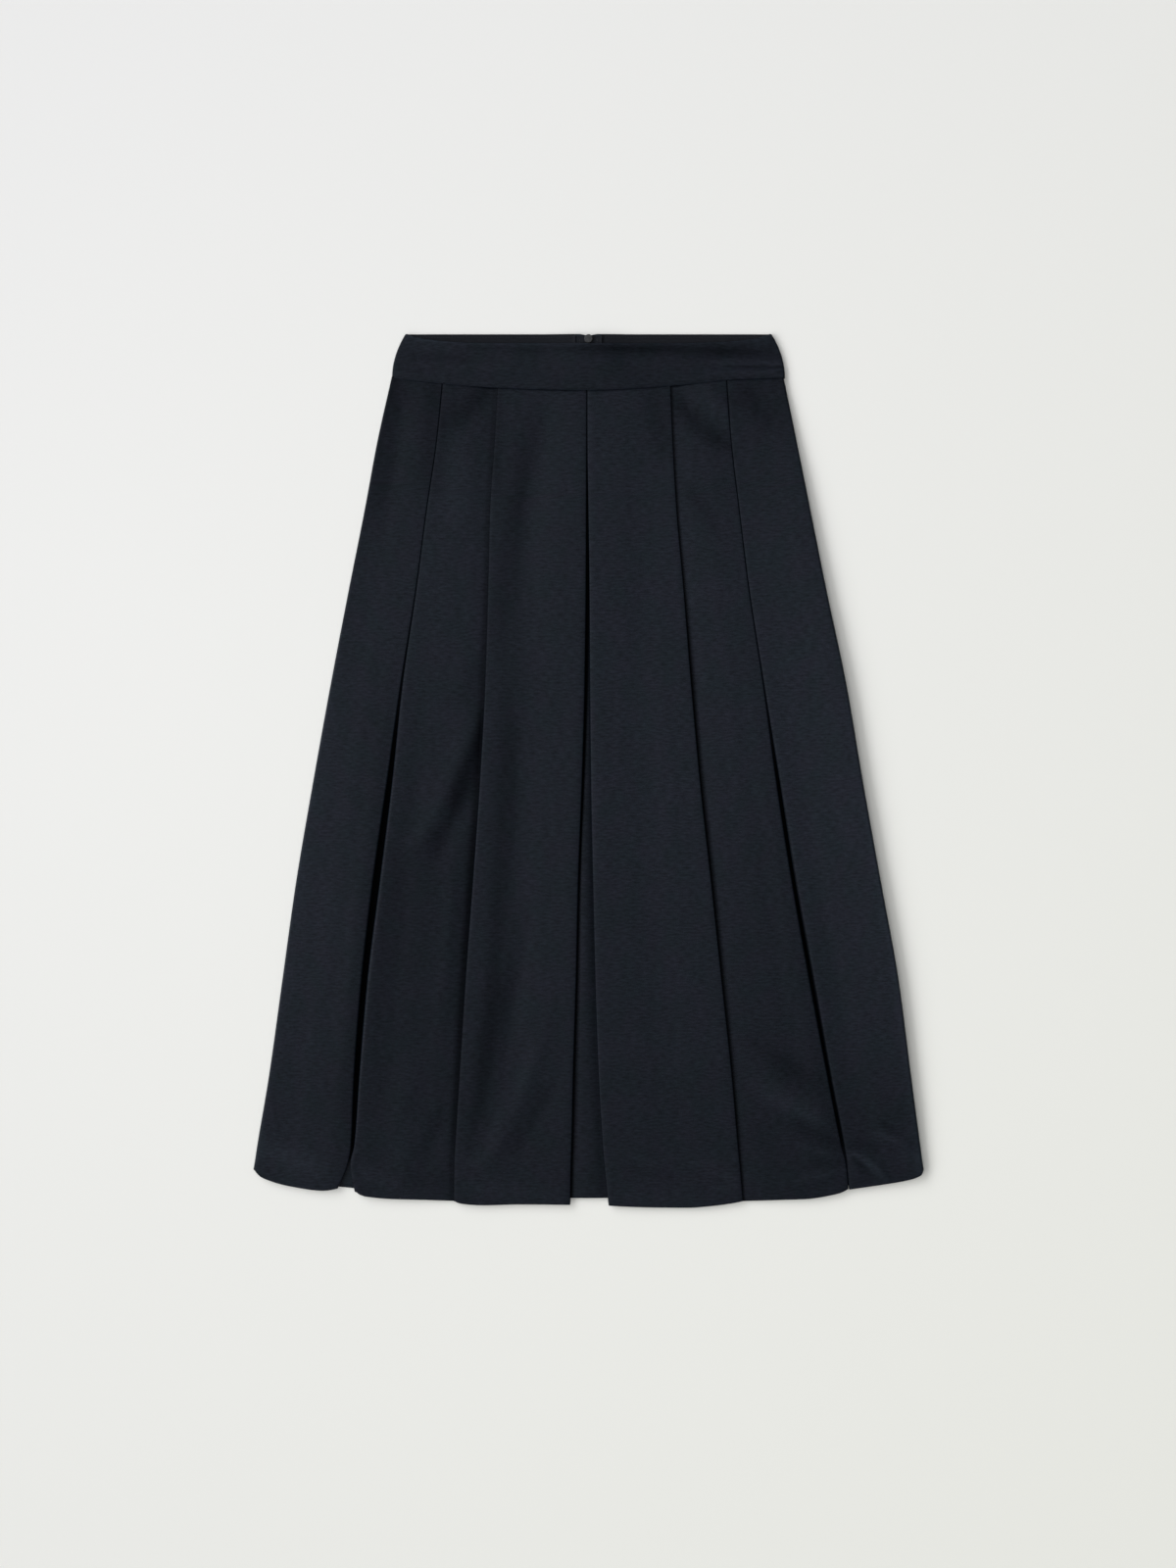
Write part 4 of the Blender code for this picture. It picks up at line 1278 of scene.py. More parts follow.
def add_node(tree, kind, inputs=None, **settings):
    """A new node of a tree, with its settings and with values or links fed to its inputs."""
    node = tree.nodes.new(kind)
    for key, value in settings.items():
        setattr(node, key, value)
    for key, value in (inputs or {}).items():
        feed(tree, node.inputs[key], value)
    return node


def feed(tree, socket, value):
    if isinstance(value, bpy.types.NodeSocket):
        tree.links.new(value, socket)
    else:
        socket.default_value = value


class Nodes:
    """Builds a material's nodes: each call adds one, links what is given and returns its output."""

    def __init__(self, name):
        self.material = bpy.data.materials.new(name)
        self.material.use_nodes = True
        self.tree = self.material.node_tree
        self.shader = self.tree.nodes["Principled BSDF"]

    def add(self, kind, inputs=None, **settings):
        return add_node(self.tree, kind, inputs, **settings)

    def noise(self, vector, size, detail=2.0, roughness=0.5):
        """Noise whose grains are of the given size in metres, across and down."""
        mapped = self.add(
            "ShaderNodeMapping",
            {"Vector": vector, "Scale": (1 / size[0], 1 / size[1], 1 / size[-1])},
        )
        texture = self.add(
            "ShaderNodeTexNoise",
            {
                "Vector": mapped.outputs["Vector"],
                "Scale": 1.0,
                "Detail": detail,
                "Roughness": roughness,
            },
        )
        return texture.outputs["Fac"]

    def ribs(self, vector, size, turn):
        """Fine ribs of the given width in metres, turned by an angle."""
        mapped = self.add("ShaderNodeMapping", {"Vector": vector, "Rotation": (0, 0, turn)})
        wave = self.add(
            "ShaderNodeTexWave",
            {"Vector": mapped.outputs["Vector"], "Scale": RIB_SCALE / size, "Distortion": 0.0},
        )
        return wave.outputs["Fac"]

    def spread(self, value, low, high, start=0.3, end=0.7):
        return self.add(
            "ShaderNodeMapRange",
            {"Value": value, "From Min": start, "From Max": end, "To Min": low, "To Max": high},
        ).outputs["Result"]

    def math(self, operation, first, second):
        return self.add("ShaderNodeMath", {0: first, 1: second}, operation=operation).outputs[0]

    def tinted(self, color, amount):
        """A colour made lighter or darker by an amount that varies over the surface."""
        mixed = self.add("ShaderNodeVectorMath", {0: color, "Scale": amount}, operation="SCALE")
        return mixed.outputs["Vector"]

    def bump(self, height, strength, distance):
        bump = self.add(
            "ShaderNodeBump", {"Height": height, "Strength": strength, "Distance": distance}
        )
        feed(self.tree, self.shader.inputs["Normal"], bump.outputs["Normal"])

    def set(self, **values):
        for key, value in values.items():
            feed(self.tree, self.shader.inputs[key.replace("_", " ")], value)


def cloth_material(name, settings):
    """Wool-like navy suiting: short slubs across, a fine diagonal rib and a soft sheen."""
    nodes = Nodes(name)
    place = nodes.add("ShaderNodeUVMap", uv_map=WEAVE_MAP).outputs["UV"]
    length, width = settings.slub_length, settings.slub_width
    slub = nodes.noise(place, (length, width), detail=3.0, roughness=0.6)
    yarn = nodes.noise(place, (length / YARNS_LONG, width / YARNS_WIDE), detail=1.0)
    cloudy = nodes.noise(place, CLOUD_SIZE)
    hues = nodes.add("ShaderNodeValToRGB", {"Fac": nodes.noise(place, HUE_SIZE)})
    cool, warm = hues.color_ramp.elements
    cool.position, warm.position = HUE_EDGES
    cool.color = (*settings.cloth_color, 1.0)
    warm.color = (*settings.cloth_warm_color, 1.0)
    rib = nodes.ribs(place, settings.rib_width, math.radians(TWILL_ANGLE))
    streaks = nodes.spread(slub, 1 - settings.slub_contrast, 1 + settings.slub_contrast)
    threads = nodes.spread(yarn, low=0.88, high=1.12)
    clouds = nodes.spread(cloudy, low=0.95, high=1.05)
    # The shade attribute paints each point's light and shade into the cloth's colour, gloss and sheen.
    kept = nodes.add("ShaderNodeAttribute", attribute_name=SHADE).outputs["Fac"]
    amount = nodes.math("MULTIPLY", nodes.math("MULTIPLY", streaks, threads), clouds)
    amount = nodes.math("MULTIPLY", amount, kept)
    gloss = nodes.math("MULTIPLY", nodes.spread(slub, low=0.85, high=1.15), kept)
    nodes.set(
        Base_Color=nodes.tinted(hues.outputs["Color"], amount),
        Roughness=nodes.spread(slub, low=0.6, high=0.5),
        Specular_IOR_Level=nodes.math("MULTIPLY", gloss, settings.cloth_gloss),
        Sheen_Weight=nodes.math("MULTIPLY", kept, settings.cloth_sheen),
        Sheen_Roughness=0.45,
        Sheen_Tint=SHEEN_TINT,
    )
    slubs_and_ribs = nodes.math(
        "ADD", nodes.math("MULTIPLY", slub, SLUB_RISE), nodes.math("MULTIPLY", rib, RIB_RISE)
    )
    height = nodes.math("ADD", slubs_and_ribs, nodes.math("MULTIPLY", yarn, YARN_RISE))
    nodes.bump(height, strength=0.35, distance=0.00025)
    return nodes.material


def facing_material(settings):
    """Smooth, near-black facing cloth with fine threads along it."""
    nodes = Nodes("facing_cloth")
    place = nodes.add("ShaderNodeUVMap", uv_map=WEAVE_MAP).outputs["UV"]
    thread = nodes.noise(place, (0.006, 0.0005))
    nodes.set(
        Base_Color=nodes.tinted(settings.facing_color, nodes.spread(thread, low=0.8, high=1.2)),
        Roughness=nodes.spread(thread, low=0.6, high=0.5),
        Specular_IOR_Level=0.04,
    )
    nodes.bump(thread, strength=0.25, distance=0.00015)
    return nodes.material


def tape_material(settings):
    """Woven zip tape with a rib along its length."""
    nodes = Nodes("zip_tape_web")
    place = nodes.add("ShaderNodeUVMap", uv_map=WEAVE_MAP).outputs["UV"]
    rib = nodes.ribs(place, TAPE_RIB, math.radians(TAPE_RIB_ANGLE))
    grain = nodes.noise(place, (0.0008, 0.0008))
    nodes.set(
        Base_Color=nodes.tinted(
            settings.tape_color, nodes.spread(rib, low=0.8, high=1.2, start=0.0, end=1.0)
        ),
        Roughness=nodes.spread(grain, low=0.8, high=0.65),
        Specular_IOR_Level=0.08,
    )
    height = nodes.math("ADD", rib, nodes.math("MULTIPLY", grain, TAPE_GRAIN_RISE))
    nodes.bump(height, strength=0.4, distance=0.0002)
    return nodes.material


def thread_material(name, color):
    """Twisted sewing thread, or the moulded coil of a zip."""
    nodes = Nodes(name)
    place = nodes.add("ShaderNodeTexCoord").outputs["Object"]
    twist = nodes.noise(place, (0.0002, 0.0002), detail=1.0)
    nodes.set(
        Base_Color=nodes.tinted(color, nodes.spread(twist, low=0.85, high=1.15)),
        Roughness=nodes.spread(twist, low=0.5, high=0.38),
        Specular_IOR_Level=0.4,
    )
    nodes.bump(twist, strength=0.3, distance=0.00005)
    return nodes.material


def metal_material(settings):
    """Painted metal, a little worn and scratched."""
    nodes = Nodes("zip_metal")
    place = nodes.add("ShaderNodeTexCoord").outputs["Object"]
    worn = nodes.noise(place, (0.0011, 0.0011), detail=4.0, roughness=0.65)
    scratch = nodes.noise(place, (0.0025, 0.00012))
    nodes.set(
        Base_Color=nodes.tinted(settings.metal_color, nodes.spread(worn, low=0.6, high=1.5)),
        Roughness=nodes.spread(worn, low=0.42, high=0.28),
        Metallic=0.6,
    )
    nodes.bump(nodes.math("ADD", worn, scratch), strength=0.12, distance=0.0001)
    return nodes.material


def floor_material(settings):
    """A pale, matt studio floor with painted light: lighter beside the light and warmer far from it.
    """
    nodes = Nodes("studio_floor")
    place = nodes.add("ShaderNodeTexCoord").outputs["Object"]
    from_light = nodes.add(
        "ShaderNodeVectorMath", {0: place, 1: FLOOR_LIGHTEST}, operation="DISTANCE"
    )
    distance = from_light.outputs["Value"]
    fading = nodes.spread(distance, low=1.035, high=0.95, start=0.1, end=1.3)
    apart = nodes.add("ShaderNodeSeparateXYZ", {"Vector": place})
    warmth = nodes.math("SUBTRACT", apart.outputs["X"], apart.outputs["Y"])
    far_share = nodes.spread(warmth, low=0.0, high=1.0, start=-1.1, end=1.2)
    warm = nodes.add("ShaderNodeValToRGB", {"Fac": far_share})
    near, far = warm.color_ramp.elements
    near.color = (*settings.floor_color, 1.0)
    far.color = (*settings.floor_far_color, 1.0)
    nodes.set(
        Base_Color=nodes.tinted(warm.outputs["Color"], fading),
        Roughness=0.9,
        Specular_IOR_Level=0.1,
    )
    return nodes.material


def material_named(name, make):
    return bpy.data.materials.get(name) or make()


# Settings, with the sizes and colours that a user would change.


def length_setting(name, description, default, least, most):
    """A length in metres."""
    return bpy.props.FloatProperty(
        name=name,
        description=description,
        default=default,
        min=least,
        max=most,
        precision=5,
        subtype="DISTANCE",
        unit="LENGTH",
    )


def share_setting(name, description, default, most):
    """A share, from none at 0."""
    return bpy.props.FloatProperty(
        name=name, description=description, default=default, min=0.0, max=most, subtype="FACTOR"
    )


def light_setting(name, description, default):
    """The strength of a light."""
    return bpy.props.FloatProperty(name=name, description=description, default=default, min=0.0)


def colour_setting(name, description, default):
    """A colour, in linear red, green and blue."""
    return bpy.props.FloatVectorProperty(
        name=name,
        description=description,
        default=default,
        size=3,
        min=0.0,
        max=1.0,
        subtype="COLOR",
    )


class SKIRT_PG_cloth(bpy.types.PropertyGroup):
    """The skirt's cloth: its walls, folds, weave and colours"""

    thickness: length_setting("Thickness", "Thickness of the skirt's cloth", 0.0009, 0.0003, 0.0012)
    facing_thickness: length_setting(
        "Facing thickness", "Thickness of the facing and the zip tapes", 0.0006, 0.0002, 0.001
    )
    hem_depth: length_setting(
        "Hem depth", "Depth of the hem that is turned up inside", 0.041, 0.01, 0.08
    )
    hem_extra: length_setting(
        "Hem extra", "What the turned-up cloth adds to the hem's thickness", 0.00025, 0.0, 0.0004
    )
    fold_strength: share_setting("Soft folds", "How strongly the soft folds show", 1.0, 1.5)
    slub_length: length_setting(
        "Slub length", "Length of the thicker places in the cross threads", 0.0066, 0.001, 0.02
    )
    slub_width: length_setting(
        "Slub width", "Width of the thicker places in the cross threads", 0.0017, 0.0003, 0.004
    )
    slub_contrast: share_setting(
        "Slub contrast", "How much lighter and darker the slubs are than the cloth", 0.36, 0.5
    )
    rib_width: length_setting(
        "Rib width", "Width of one diagonal rib of the weave", 0.0008, 0.0003, 0.003
    )
    cloth_color: colour_setting("Cloth", "Colour of the navy cloth", (0.0049, 0.0084, 0.0131))
    cloth_warm_color: colour_setting(
        "Warmer cloth",
        "Colour of the navy cloth where its threads look warmer",
        (0.0066, 0.0083, 0.0146),
    )
    cloth_gloss: share_setting("Cloth gloss", "How strongly the cloth reflects", 0.10, 1.0)
    cloth_sheen: share_setting(
        "Cloth sheen", "How strongly the cloth's nap catches light at its edges", 0.012, 1.0
    )


class SKIRT_PG_trim(bpy.types.PropertyGroup):
    """The trimmings: their colours, teeth and stitches"""

    facing_color: colour_setting(
        "Facing", "Colour of the waistband's facing", (0.0088, 0.0098, 0.0128)
    )
    tape_color: colour_setting(
        "Zip tape", "Colour of the zip tapes and teeth", (0.0088, 0.0100, 0.0134)
    )
    thread_color: colour_setting("Thread", "Colour of the sewing thread", (0.010, 0.0135, 0.020))
    metal_color: colour_setting(
        "Metal", "Colour of the slider and its pull tab", (0.021, 0.022, 0.024)
    )
    tooth_pitch: length_setting(
        "Tooth pitch", "Distance from one tooth of the zip to the next", 0.0011, 0.0008, 0.003
    )
    stitch_length: length_setting(
        "Stitch length", "Length of a machine stitch", 0.0019, 0.001, 0.005
    )
    stitch_pitch: length_setting(
        "Stitch pitch", "Distance from one machine stitch to the next", 0.0026, 0.0015, 0.006
    )
    hem_pitch: length_setting(
        "Hem stitch pitch", "Distance from one blind stitch of the hem to the next", 0.009, 0.004, 0.02
    )


class SKIRT_PG_stage(bpy.types.PropertyGroup):
    """The floor, the lights and the camera"""

    floor_size: length_setting("Floor size", "Width and length of the floor", 12.0, 2.0, 50.0)
    floor_color: colour_setting(
        "Floor", "Colour of the floor on the light's side", (0.815, 0.815, 0.812)
    )
    floor_far_color: colour_setting(
        "Far floor", "Colour of the floor on the far side from the light", (0.806, 0.812, 0.768)
    )
    key_light: light_setting("Side light", "Strength of the light from the left", 3.6)
    top_light: light_setting("Top light", "Strength of the light from above", 1.05)
    fill_light: light_setting("Fill light", "Strength of the light from all round", 0.10)
    view_height: length_setting(
        "View height", "Height of what the camera sees at the skirt", 1.44, 0.5, 10.0
    )
    lens: bpy.props.FloatProperty(
        name="Lens",
        description="Focal length of the camera",
        default=85.0,
        min=20.0,
        max=300.0,
        subtype="DISTANCE_CAMERA",
        unit="CAMERA",
    )


# Pieces.


def skirt_cloth():
    settings = bpy.context.scene.skirt_cloth
    return material_named("navy_cloth", lambda: cloth_material("navy_cloth", settings))


class SKIRT_OT_front(bpy.types.Operator):
    """Make the pleated front of the skirt"""

    bl_idname = "skirt.make_front"
    bl_label = "Front"

    def execute(self, context):
        settings = context.scene.skirt_cloth
        thickness = settings.thickness / MM
        stations = front_stations(thickness / 2)
        rows = skirt_rows(stations, front_seam, settings.hem_depth / MM, settings.hem_extra / MM)
        item = cloth_wall("front_skirt_cloth", rows, thickness, skirt_cloth(), (-1, 0), (1, 0))
        declare_cloth(item, "front_skirt")
        return {"FINISHED"}


class SKIRT_OT_back(bpy.types.Operator):
    """Make the two halves of the skirt's back"""

    bl_idname = "skirt.make_back"
    bl_label = "Back"

    def execute(self, context):
        settings = context.scene.skirt_cloth
        thickness = settings.thickness / MM
        for side_name in SIDES:
            stations = back_stations(side_name, thickness / 2)
            rows = skirt_rows(stations, back_seam, settings.hem_depth / MM, 0.0)
            rows = [
                [p._replace(height=p.height - over_zip(p.across, p.down)) for p in row]
                for row in rows
            ]
            name = "back_skirt_" + side_name
            item = cloth_wall(name + "_cloth", rows, thickness, skirt_cloth(), (1, 0))
            declare_cloth(item, name)
        return {"FINISHED"}


def band_half_width(down):
    """The waistband's sides curve out from its top to its seam."""
    share = clamp(down / BACK_SEAM_SIDE)
    return BAND_HALF_TOP + (BAND_HALF_BOTTOM - BAND_HALF_TOP) * (1 - (1 - share) ** 2)


def front_top(across):
    return FRONT_DIP * (1 - clamp(abs(across) / BAND_HALF_TOP) ** FRONT_DIP_POWER)


def band_edge(side, angle, down, level, upper_half, half):
    """A point of the waistband's rounded side edge."""
    turn = math.radians(angle)
    radius = (level - BACK_Z) / 2
    middle = (level + BACK_Z) / 2
    across = side * (band_half_width(down) - half - radius * (1 - abs(math.cos(turn))))
    if upper_half:
        return across, max(middle + radius * math.sin(turn), middle + ROLL_SPLIT)
    return across, min(middle - radius * math.sin(turn), middle - ROLL_SPLIT)


def band_rows(lines, place_of, top_of, seam_of, point_of):
    """The rows of a waistband: the same lines down at each, from its top to its seam."""
    columns = []
    for kind, place in lines:
        near = place_of(kind, place)
        top, bottom = top_of(near), seam_of(near) - SEAM_GAP / 2
        column = []
        for down in row_places(top, bottom, BAND_TOP_ROWS, BAND_SEAM_ROWS, BAND_ROWS_BETWEEN):
            ramp = smooth((down - BAND_RAMP_START) / (bottom - BAND_RAMP_START))
            level = BAND_Z + ramp * (panel_level(LEVELS[0].down) - BAND_Z)
            column.append(point_of(kind, place, down, bottom, ramp, level))
        columns.append(column)
    return as_rows(columns)


def front_band_rows(half):
    """The rows of the front waistband, from its left side roll to its right one."""
    inner = BAND_HALF_TOP - BAND_FLAT_END
    lines = [("left", angle) for angle in (180, *reversed(ROLL_ANGLES))]
    for across in evenly(-inner, inner, BAND_LINES):
        lines.append(("flat", across / BAND_HALF_TOP))
    lines += [("right", angle) for angle in (*ROLL_ANGLES, 180)]

    def place_of(kind, place):
        return SIDES.get(kind, place) * BAND_HALF_TOP

    def point_of(kind, place, down, bottom, ramp, level):
        if kind in SIDES:
            across, height = band_edge(SIDES[kind], place, down, level, True, half)
        else:
            across = place * band_half_width(down)
            height = level + pull_hump(across, down) + ramp * over_zip(across, LEVELS[0].down)
            height += crease_height("front_waistband", across, down)
            height += SEAM_RIDGE * bell((bottom - down - SEAM_RIDGE_PLACE) / SEAM_RIDGE_WIDTH)
            height -= BAND_EDGE_DROP * bell((bottom - down) / BAND_EDGE_WIDTH)
        return Point(across, down, height, band_light(across, down))

    return band_rows(lines, place_of, front_top, front_seam, point_of)


# The front waistband's painted light and shade, with a painted highlight along its top edge.
def band_light(across, down):
    lit = curve(BAND_PAINTED_LIGHTS, "across", "light", across) * painted_line_light("front_waistband", across, down)
    return lit * (1 + BAND_RIM_LIGHT * bell((down - front_top(across)) / BAND_RIM_WIDTH))


def back_top(across):
    return BACK_NOTCH * smooth(1 - (abs(across) - TAPE_INNER) / BACK_NOTCH_WIDTH)


def centre_edge(down):
    """The zip opening is a little wider beside the slider's neck."""
    wide = clamp((down - BRIDGE_END_DOWN) / BRIDGE_END_DOWN)
    return TAPE_INNER - (TAPE_INNER - SEAM_GAP / 2) * wide


def back_band_rows(side_name, half):
    """The rows of one half of the back waistband, from its side roll to the zip."""
    side = SIDES[side_name]
    inner = BAND_HALF_TOP - BAND_FLAT_END
    lines = [("roll", angle) for angle in (180, *reversed(ROLL_ANGLES))]
    lines += [("flat", 1 - index / BACK_BAND_LINES) for index in range(BACK_BAND_LINES + 1)]

    def place_of(kind, place):
        if kind == "roll":
            return BAND_HALF_TOP
        return centre_edge(0) + place * (inner - centre_edge(0))

    def point_of(kind, place, down, bottom, ramp, level):
        if kind == "roll":
            across, height = band_edge(side, place, down, level, False, half)
        else:
            start = centre_edge(down)
            widest = inner * band_half_width(down) / BAND_HALF_TOP
            across = side * (start + place * (widest - start))
            height = BACK_Z + pull_hump(across, down)
        return Point(across, down, height)

    return band_rows(lines, place_of, back_top, back_seam, point_of)


class SKIRT_OT_waistband(bpy.types.Operator):
    """Make the front waistband and the two halves of the back one"""

    bl_idname = "skirt.make_waistband"
    bl_label = "Waistbands"

    def execute(self, context):
        thickness = context.scene.skirt_cloth.thickness / MM
        half = thickness / 2
        rows = front_band_rows(half)
        item = cloth_wall("front_waistband_cloth", rows, thickness, skirt_cloth(), (-1, 0), (1, 0))
        declare_cloth(item, "front_waistband")
        for side_name in SIDES:
            rows = back_band_rows(side_name, half)
            name = "back_waistband_" + side_name
            item = cloth_wall(name + "_cloth", rows, thickness, skirt_cloth(), (1, 0))
            declare_cloth(item, name)
        return {"FINISHED"}


def trim_rows(side_name, levels, outer_at, inner, lines):
    """The rows of a facing or a tape, from its outer edge to its inner one."""
    rows = []
    for down in levels:
        row = []
        for across in evenly(outer_at(down), inner, lines):
            height = TRIM_Z + pull_hump(across, down)
            row.append(Point(SIDES[side_name] * across, down, height))
        rows.append(row)
    return rows


def facing_outer(down):
    return band_half_width(down) - FACING_SIDE_GAP


def tape_levels():
    """The levels of a zip tape's rows: close together in the waistband, wider below it."""
    upper = evenly(TAPE_TOP, BACK_SEAM_CENTRE, TRIM_ROWS)
    return upper[:-1] + evenly(BACK_SEAM_CENTRE, ZIP_LENGTH, TRIM_ROWS)


class SKIRT_OT_facings(bpy.types.Operator):
    """Make the facing inside each half of the back waistband"""

    bl_idname = "skirt.make_facings"
    bl_label = "Facings"

    def execute(self, context):
        thickness = context.scene.skirt_cloth.facing_thickness / MM
        trim = context.scene.skirt_trim
        material = material_named("facing_cloth", lambda: facing_material(trim))
        levels = evenly(FACING_TOP, BACK_SEAM_SIDE - SEAM_GAP, TRIM_ROWS)
        for side_name in SIDES:
            name = "back_facing_" + side_name
            rows = trim_rows(side_name, levels, facing_outer, FACING_INNER, FACING_LINES)
            item = cloth_wall(name + "_cloth", rows, thickness, material)
            declare_cloth(item, name)
        return {"FINISHED"}


class SKIRT_OT_tapes(bpy.types.Operator):
    """Make the two woven tapes of the zip"""

    bl_idname = "skirt.make_tapes"
    bl_label = "Zip tapes"

    def execute(self, context):
        thickness = context.scene.skirt_cloth.facing_thickness / MM
        trim = context.scene.skirt_trim
        material = material_named("zip_tape_web", lambda: tape_material(trim))
        for side_name in SIDES:
            name = "zip_tape_" + side_name
            outer_at = lambda down: TAPE_OUTER
            rows = trim_rows(side_name, tape_levels(), outer_at, TAPE_INNER, TAPE_LINES)
            item = cloth_wall(name + "_web", rows, thickness, material)
            declare_cloth(item, name)
        return {"FINISHED"}


# Teeth and stitches, which repeat along a path.


def repeat_tree(name, alternate):
    """Nodes that set one small rounded bar after another along a path."""
    tree = bpy.data.node_groups.new(name, "GeometryNodeTree")
    face = tree.interface
    face.new_socket("Path", in_out="INPUT", socket_type="NodeSocketGeometry")
    for label, default in (("Pitch", 0.002), ("Length", 0.001), ("Width", 0.0003), ("Shift", 0.0)):
        socket = face.new_socket(label, in_out="INPUT", socket_type="NodeSocketFloat")
        socket.default_value = default
        socket.subtype = "DISTANCE"
    face.new_socket("Material", in_out="INPUT", socket_type="NodeSocketMaterial")
    face.new_socket("Pieces", in_out="OUTPUT", socket_type="NodeSocketGeometry")

    def add(kind, inputs=None, **settings):
        return add_node(tree, kind, inputs, **settings)

    given = add("NodeGroupInput").outputs
    line = add("GeometryNodeMeshToCurve", {"Mesh": given["Path"]})
    spaced = add(
        "GeometryNodeResampleCurve",
        {"Curve": line.outputs["Curve"], "Length": given["Pitch"]},
        mode="LENGTH",
    )
    points = spaced.outputs["Curve"]
    if alternate:
        index = add("GeometryNodeInputIndex").outputs["Index"]
        parity = add("ShaderNodeMath", {0: index, 1: 2.0}, operation="MODULO").outputs[0]
        swing = add("ShaderNodeMath", {0: parity, 1: 0.5}, operation="SUBTRACT").outputs[0]
        amount = add("ShaderNodeMath", {0: swing, 1: given["Shift"]}, operation="MULTIPLY").outputs[0]
        offset = add("ShaderNodeCombineXYZ", {"X": amount}).outputs["Vector"]
        moved = add("GeometryNodeSetPosition", {"Geometry": points, "Offset": offset})
        points = moved.outputs["Geometry"]
    tangent = add("GeometryNodeInputTangent").outputs["Tangent"]
    turned = add("FunctionNodeAlignRotationToVector", {"Vector": tangent}, axis="X")
    bar = add("GeometryNodeMeshUVSphere", {"Segments": 8, "Rings": 5, "Radius": 0.5})
    size = add(
        "ShaderNodeCombineXYZ",
        {"X": given["Length"], "Y": given["Width"], "Z": given["Width"]},
    )
    shaped = add(
        "GeometryNodeTransform",
        {"Geometry": bar.outputs["Mesh"], "Scale": size.outputs["Vector"]},
    )
    placed = add(
        "GeometryNodeInstanceOnPoints",
        {
            "Points": points,
            "Instance": shaped.outputs["Geometry"],
            "Rotation": turned.outputs["Rotation"],
        },
    )
    whole = add("GeometryNodeRealizeInstances", {"Geometry": placed.outputs["Instances"]})
    painted = add(
        "GeometryNodeSetMaterial",
        {"Geometry": whole.outputs["Geometry"], "Material": given["Material"]},
    )
    add("NodeGroupOutput", {"Pieces": painted.outputs["Geometry"]})
    return tree


def along_paths(name, paths, tree, sizes, material):
    """A plain mesh of what the tree makes along paths of (across, down, height) points."""
    points, edges = [], []
    for path in paths:
        start = len(points)
        points += [(x * MM, (LENGTH / 2 - down) * MM, z * MM) for x, down, z in path]
        edges += [(start + i, start + i + 1) for i in range(len(path) - 1)]
    data = bpy.data.meshes.new(name + "_path")
    data.from_pydata(points, edges, [])
    item = place_object(name, data)
    modifier = item.modifiers.new("Repeat", "NODES")
    modifier.node_group = tree
    for socket in tree.interface.items_tree:
        if socket.name in sizes and socket.in_out == "INPUT":
            modifier[socket.identifier] = sizes[socket.name]
        if socket.name == "Material":
            modifier[socket.identifier] = material
    bpy.context.view_layer.update()
    graph = bpy.context.evaluated_depsgraph_get()
    made = bpy.data.meshes.new_from_object(item.evaluated_get(graph))
    item.modifiers.clear()
    item.data = made
    made.name = name
    if not made.polygons:
        raise RuntimeError(name + " came out empty")
    if not made.materials:
        made.materials.append(material)
    made.polygons.foreach_set("use_smooth", [True] * len(made.polygons))
    return item


class SKIRT_OT_teeth(bpy.types.Operator):
    """Make the teeth of the closed zip"""

    bl_idname = "skirt.make_teeth"
    bl_label = "Zip teeth"

    def execute(self, context):
        trim = context.scene.skirt_trim
        material = material_named("zip_coil", lambda: thread_material("zip_coil", trim.tape_color))
        steps = int(ZIP_LENGTH - ZIP_TEETH_START)
        levels = evenly(ZIP_TEETH_START, ZIP_LENGTH - ZIP_END, steps)
        path = [(0.0, down, TRIM_Z + pull_hump(TAPE_INNER, down)) for down in levels]
        sizes = {"Pitch": trim.tooth_pitch, "Length": 0.0008, "Width": 0.0018, "Shift": 0.0005}
        item = along_paths("zip_teeth", [path], repeat_tree("Zip teeth", True), sizes, material)
        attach(item, SKIRT)
        return {"FINISHED"}


def hem_paths(half):
    """Where the blind stitches of the hem run, on the front's panels and under the back."""
    paths = []
    for panel in PANELS:
        path = []
        for share in evenly(0, 1, PATH_STEPS):
            down = hem_at(panel.name, share) - HEM_STITCH_PLACE
            left = edge(panel.left, down) + STITCH_MARGIN
            right = edge(panel.right, down) - STITCH_MARGIN
            across = left + share * (right - left)
            height = top_height(panel, across, down) + over_zip(across, down)
            path.append((across, down, height + half + HEM_STEP / 2 - STITCH_SINK))
        paths.append(path)
    for side_name, side in SIDES.items():
        path = []
        for share in evenly(0, 1, PATH_STEPS):
            down = hem_at("back", share) - HEM_STITCH_PLACE
            outer = abs(edge(side_name + "_side", down)) - STITCH_MARGIN
            across = outer + share * (STITCH_MARGIN - outer)
            height = BACK_Z + crease_height("back", across, down) - half + STITCH_SINK
            path.append((side * across, down, height))
        paths.append(path)
    return paths


def trim_paths(places, half):
    """A line of stitches at each side on a facing or a tape, through places across and down."""
    paths = []
    for side in SIDES.values():
        path = []
        for across, down in places:
            height = TRIM_Z + pull_hump(across, down) + half - STITCH_SINK
            path.append((side * across, down, height))
        paths.append(path)
    return paths


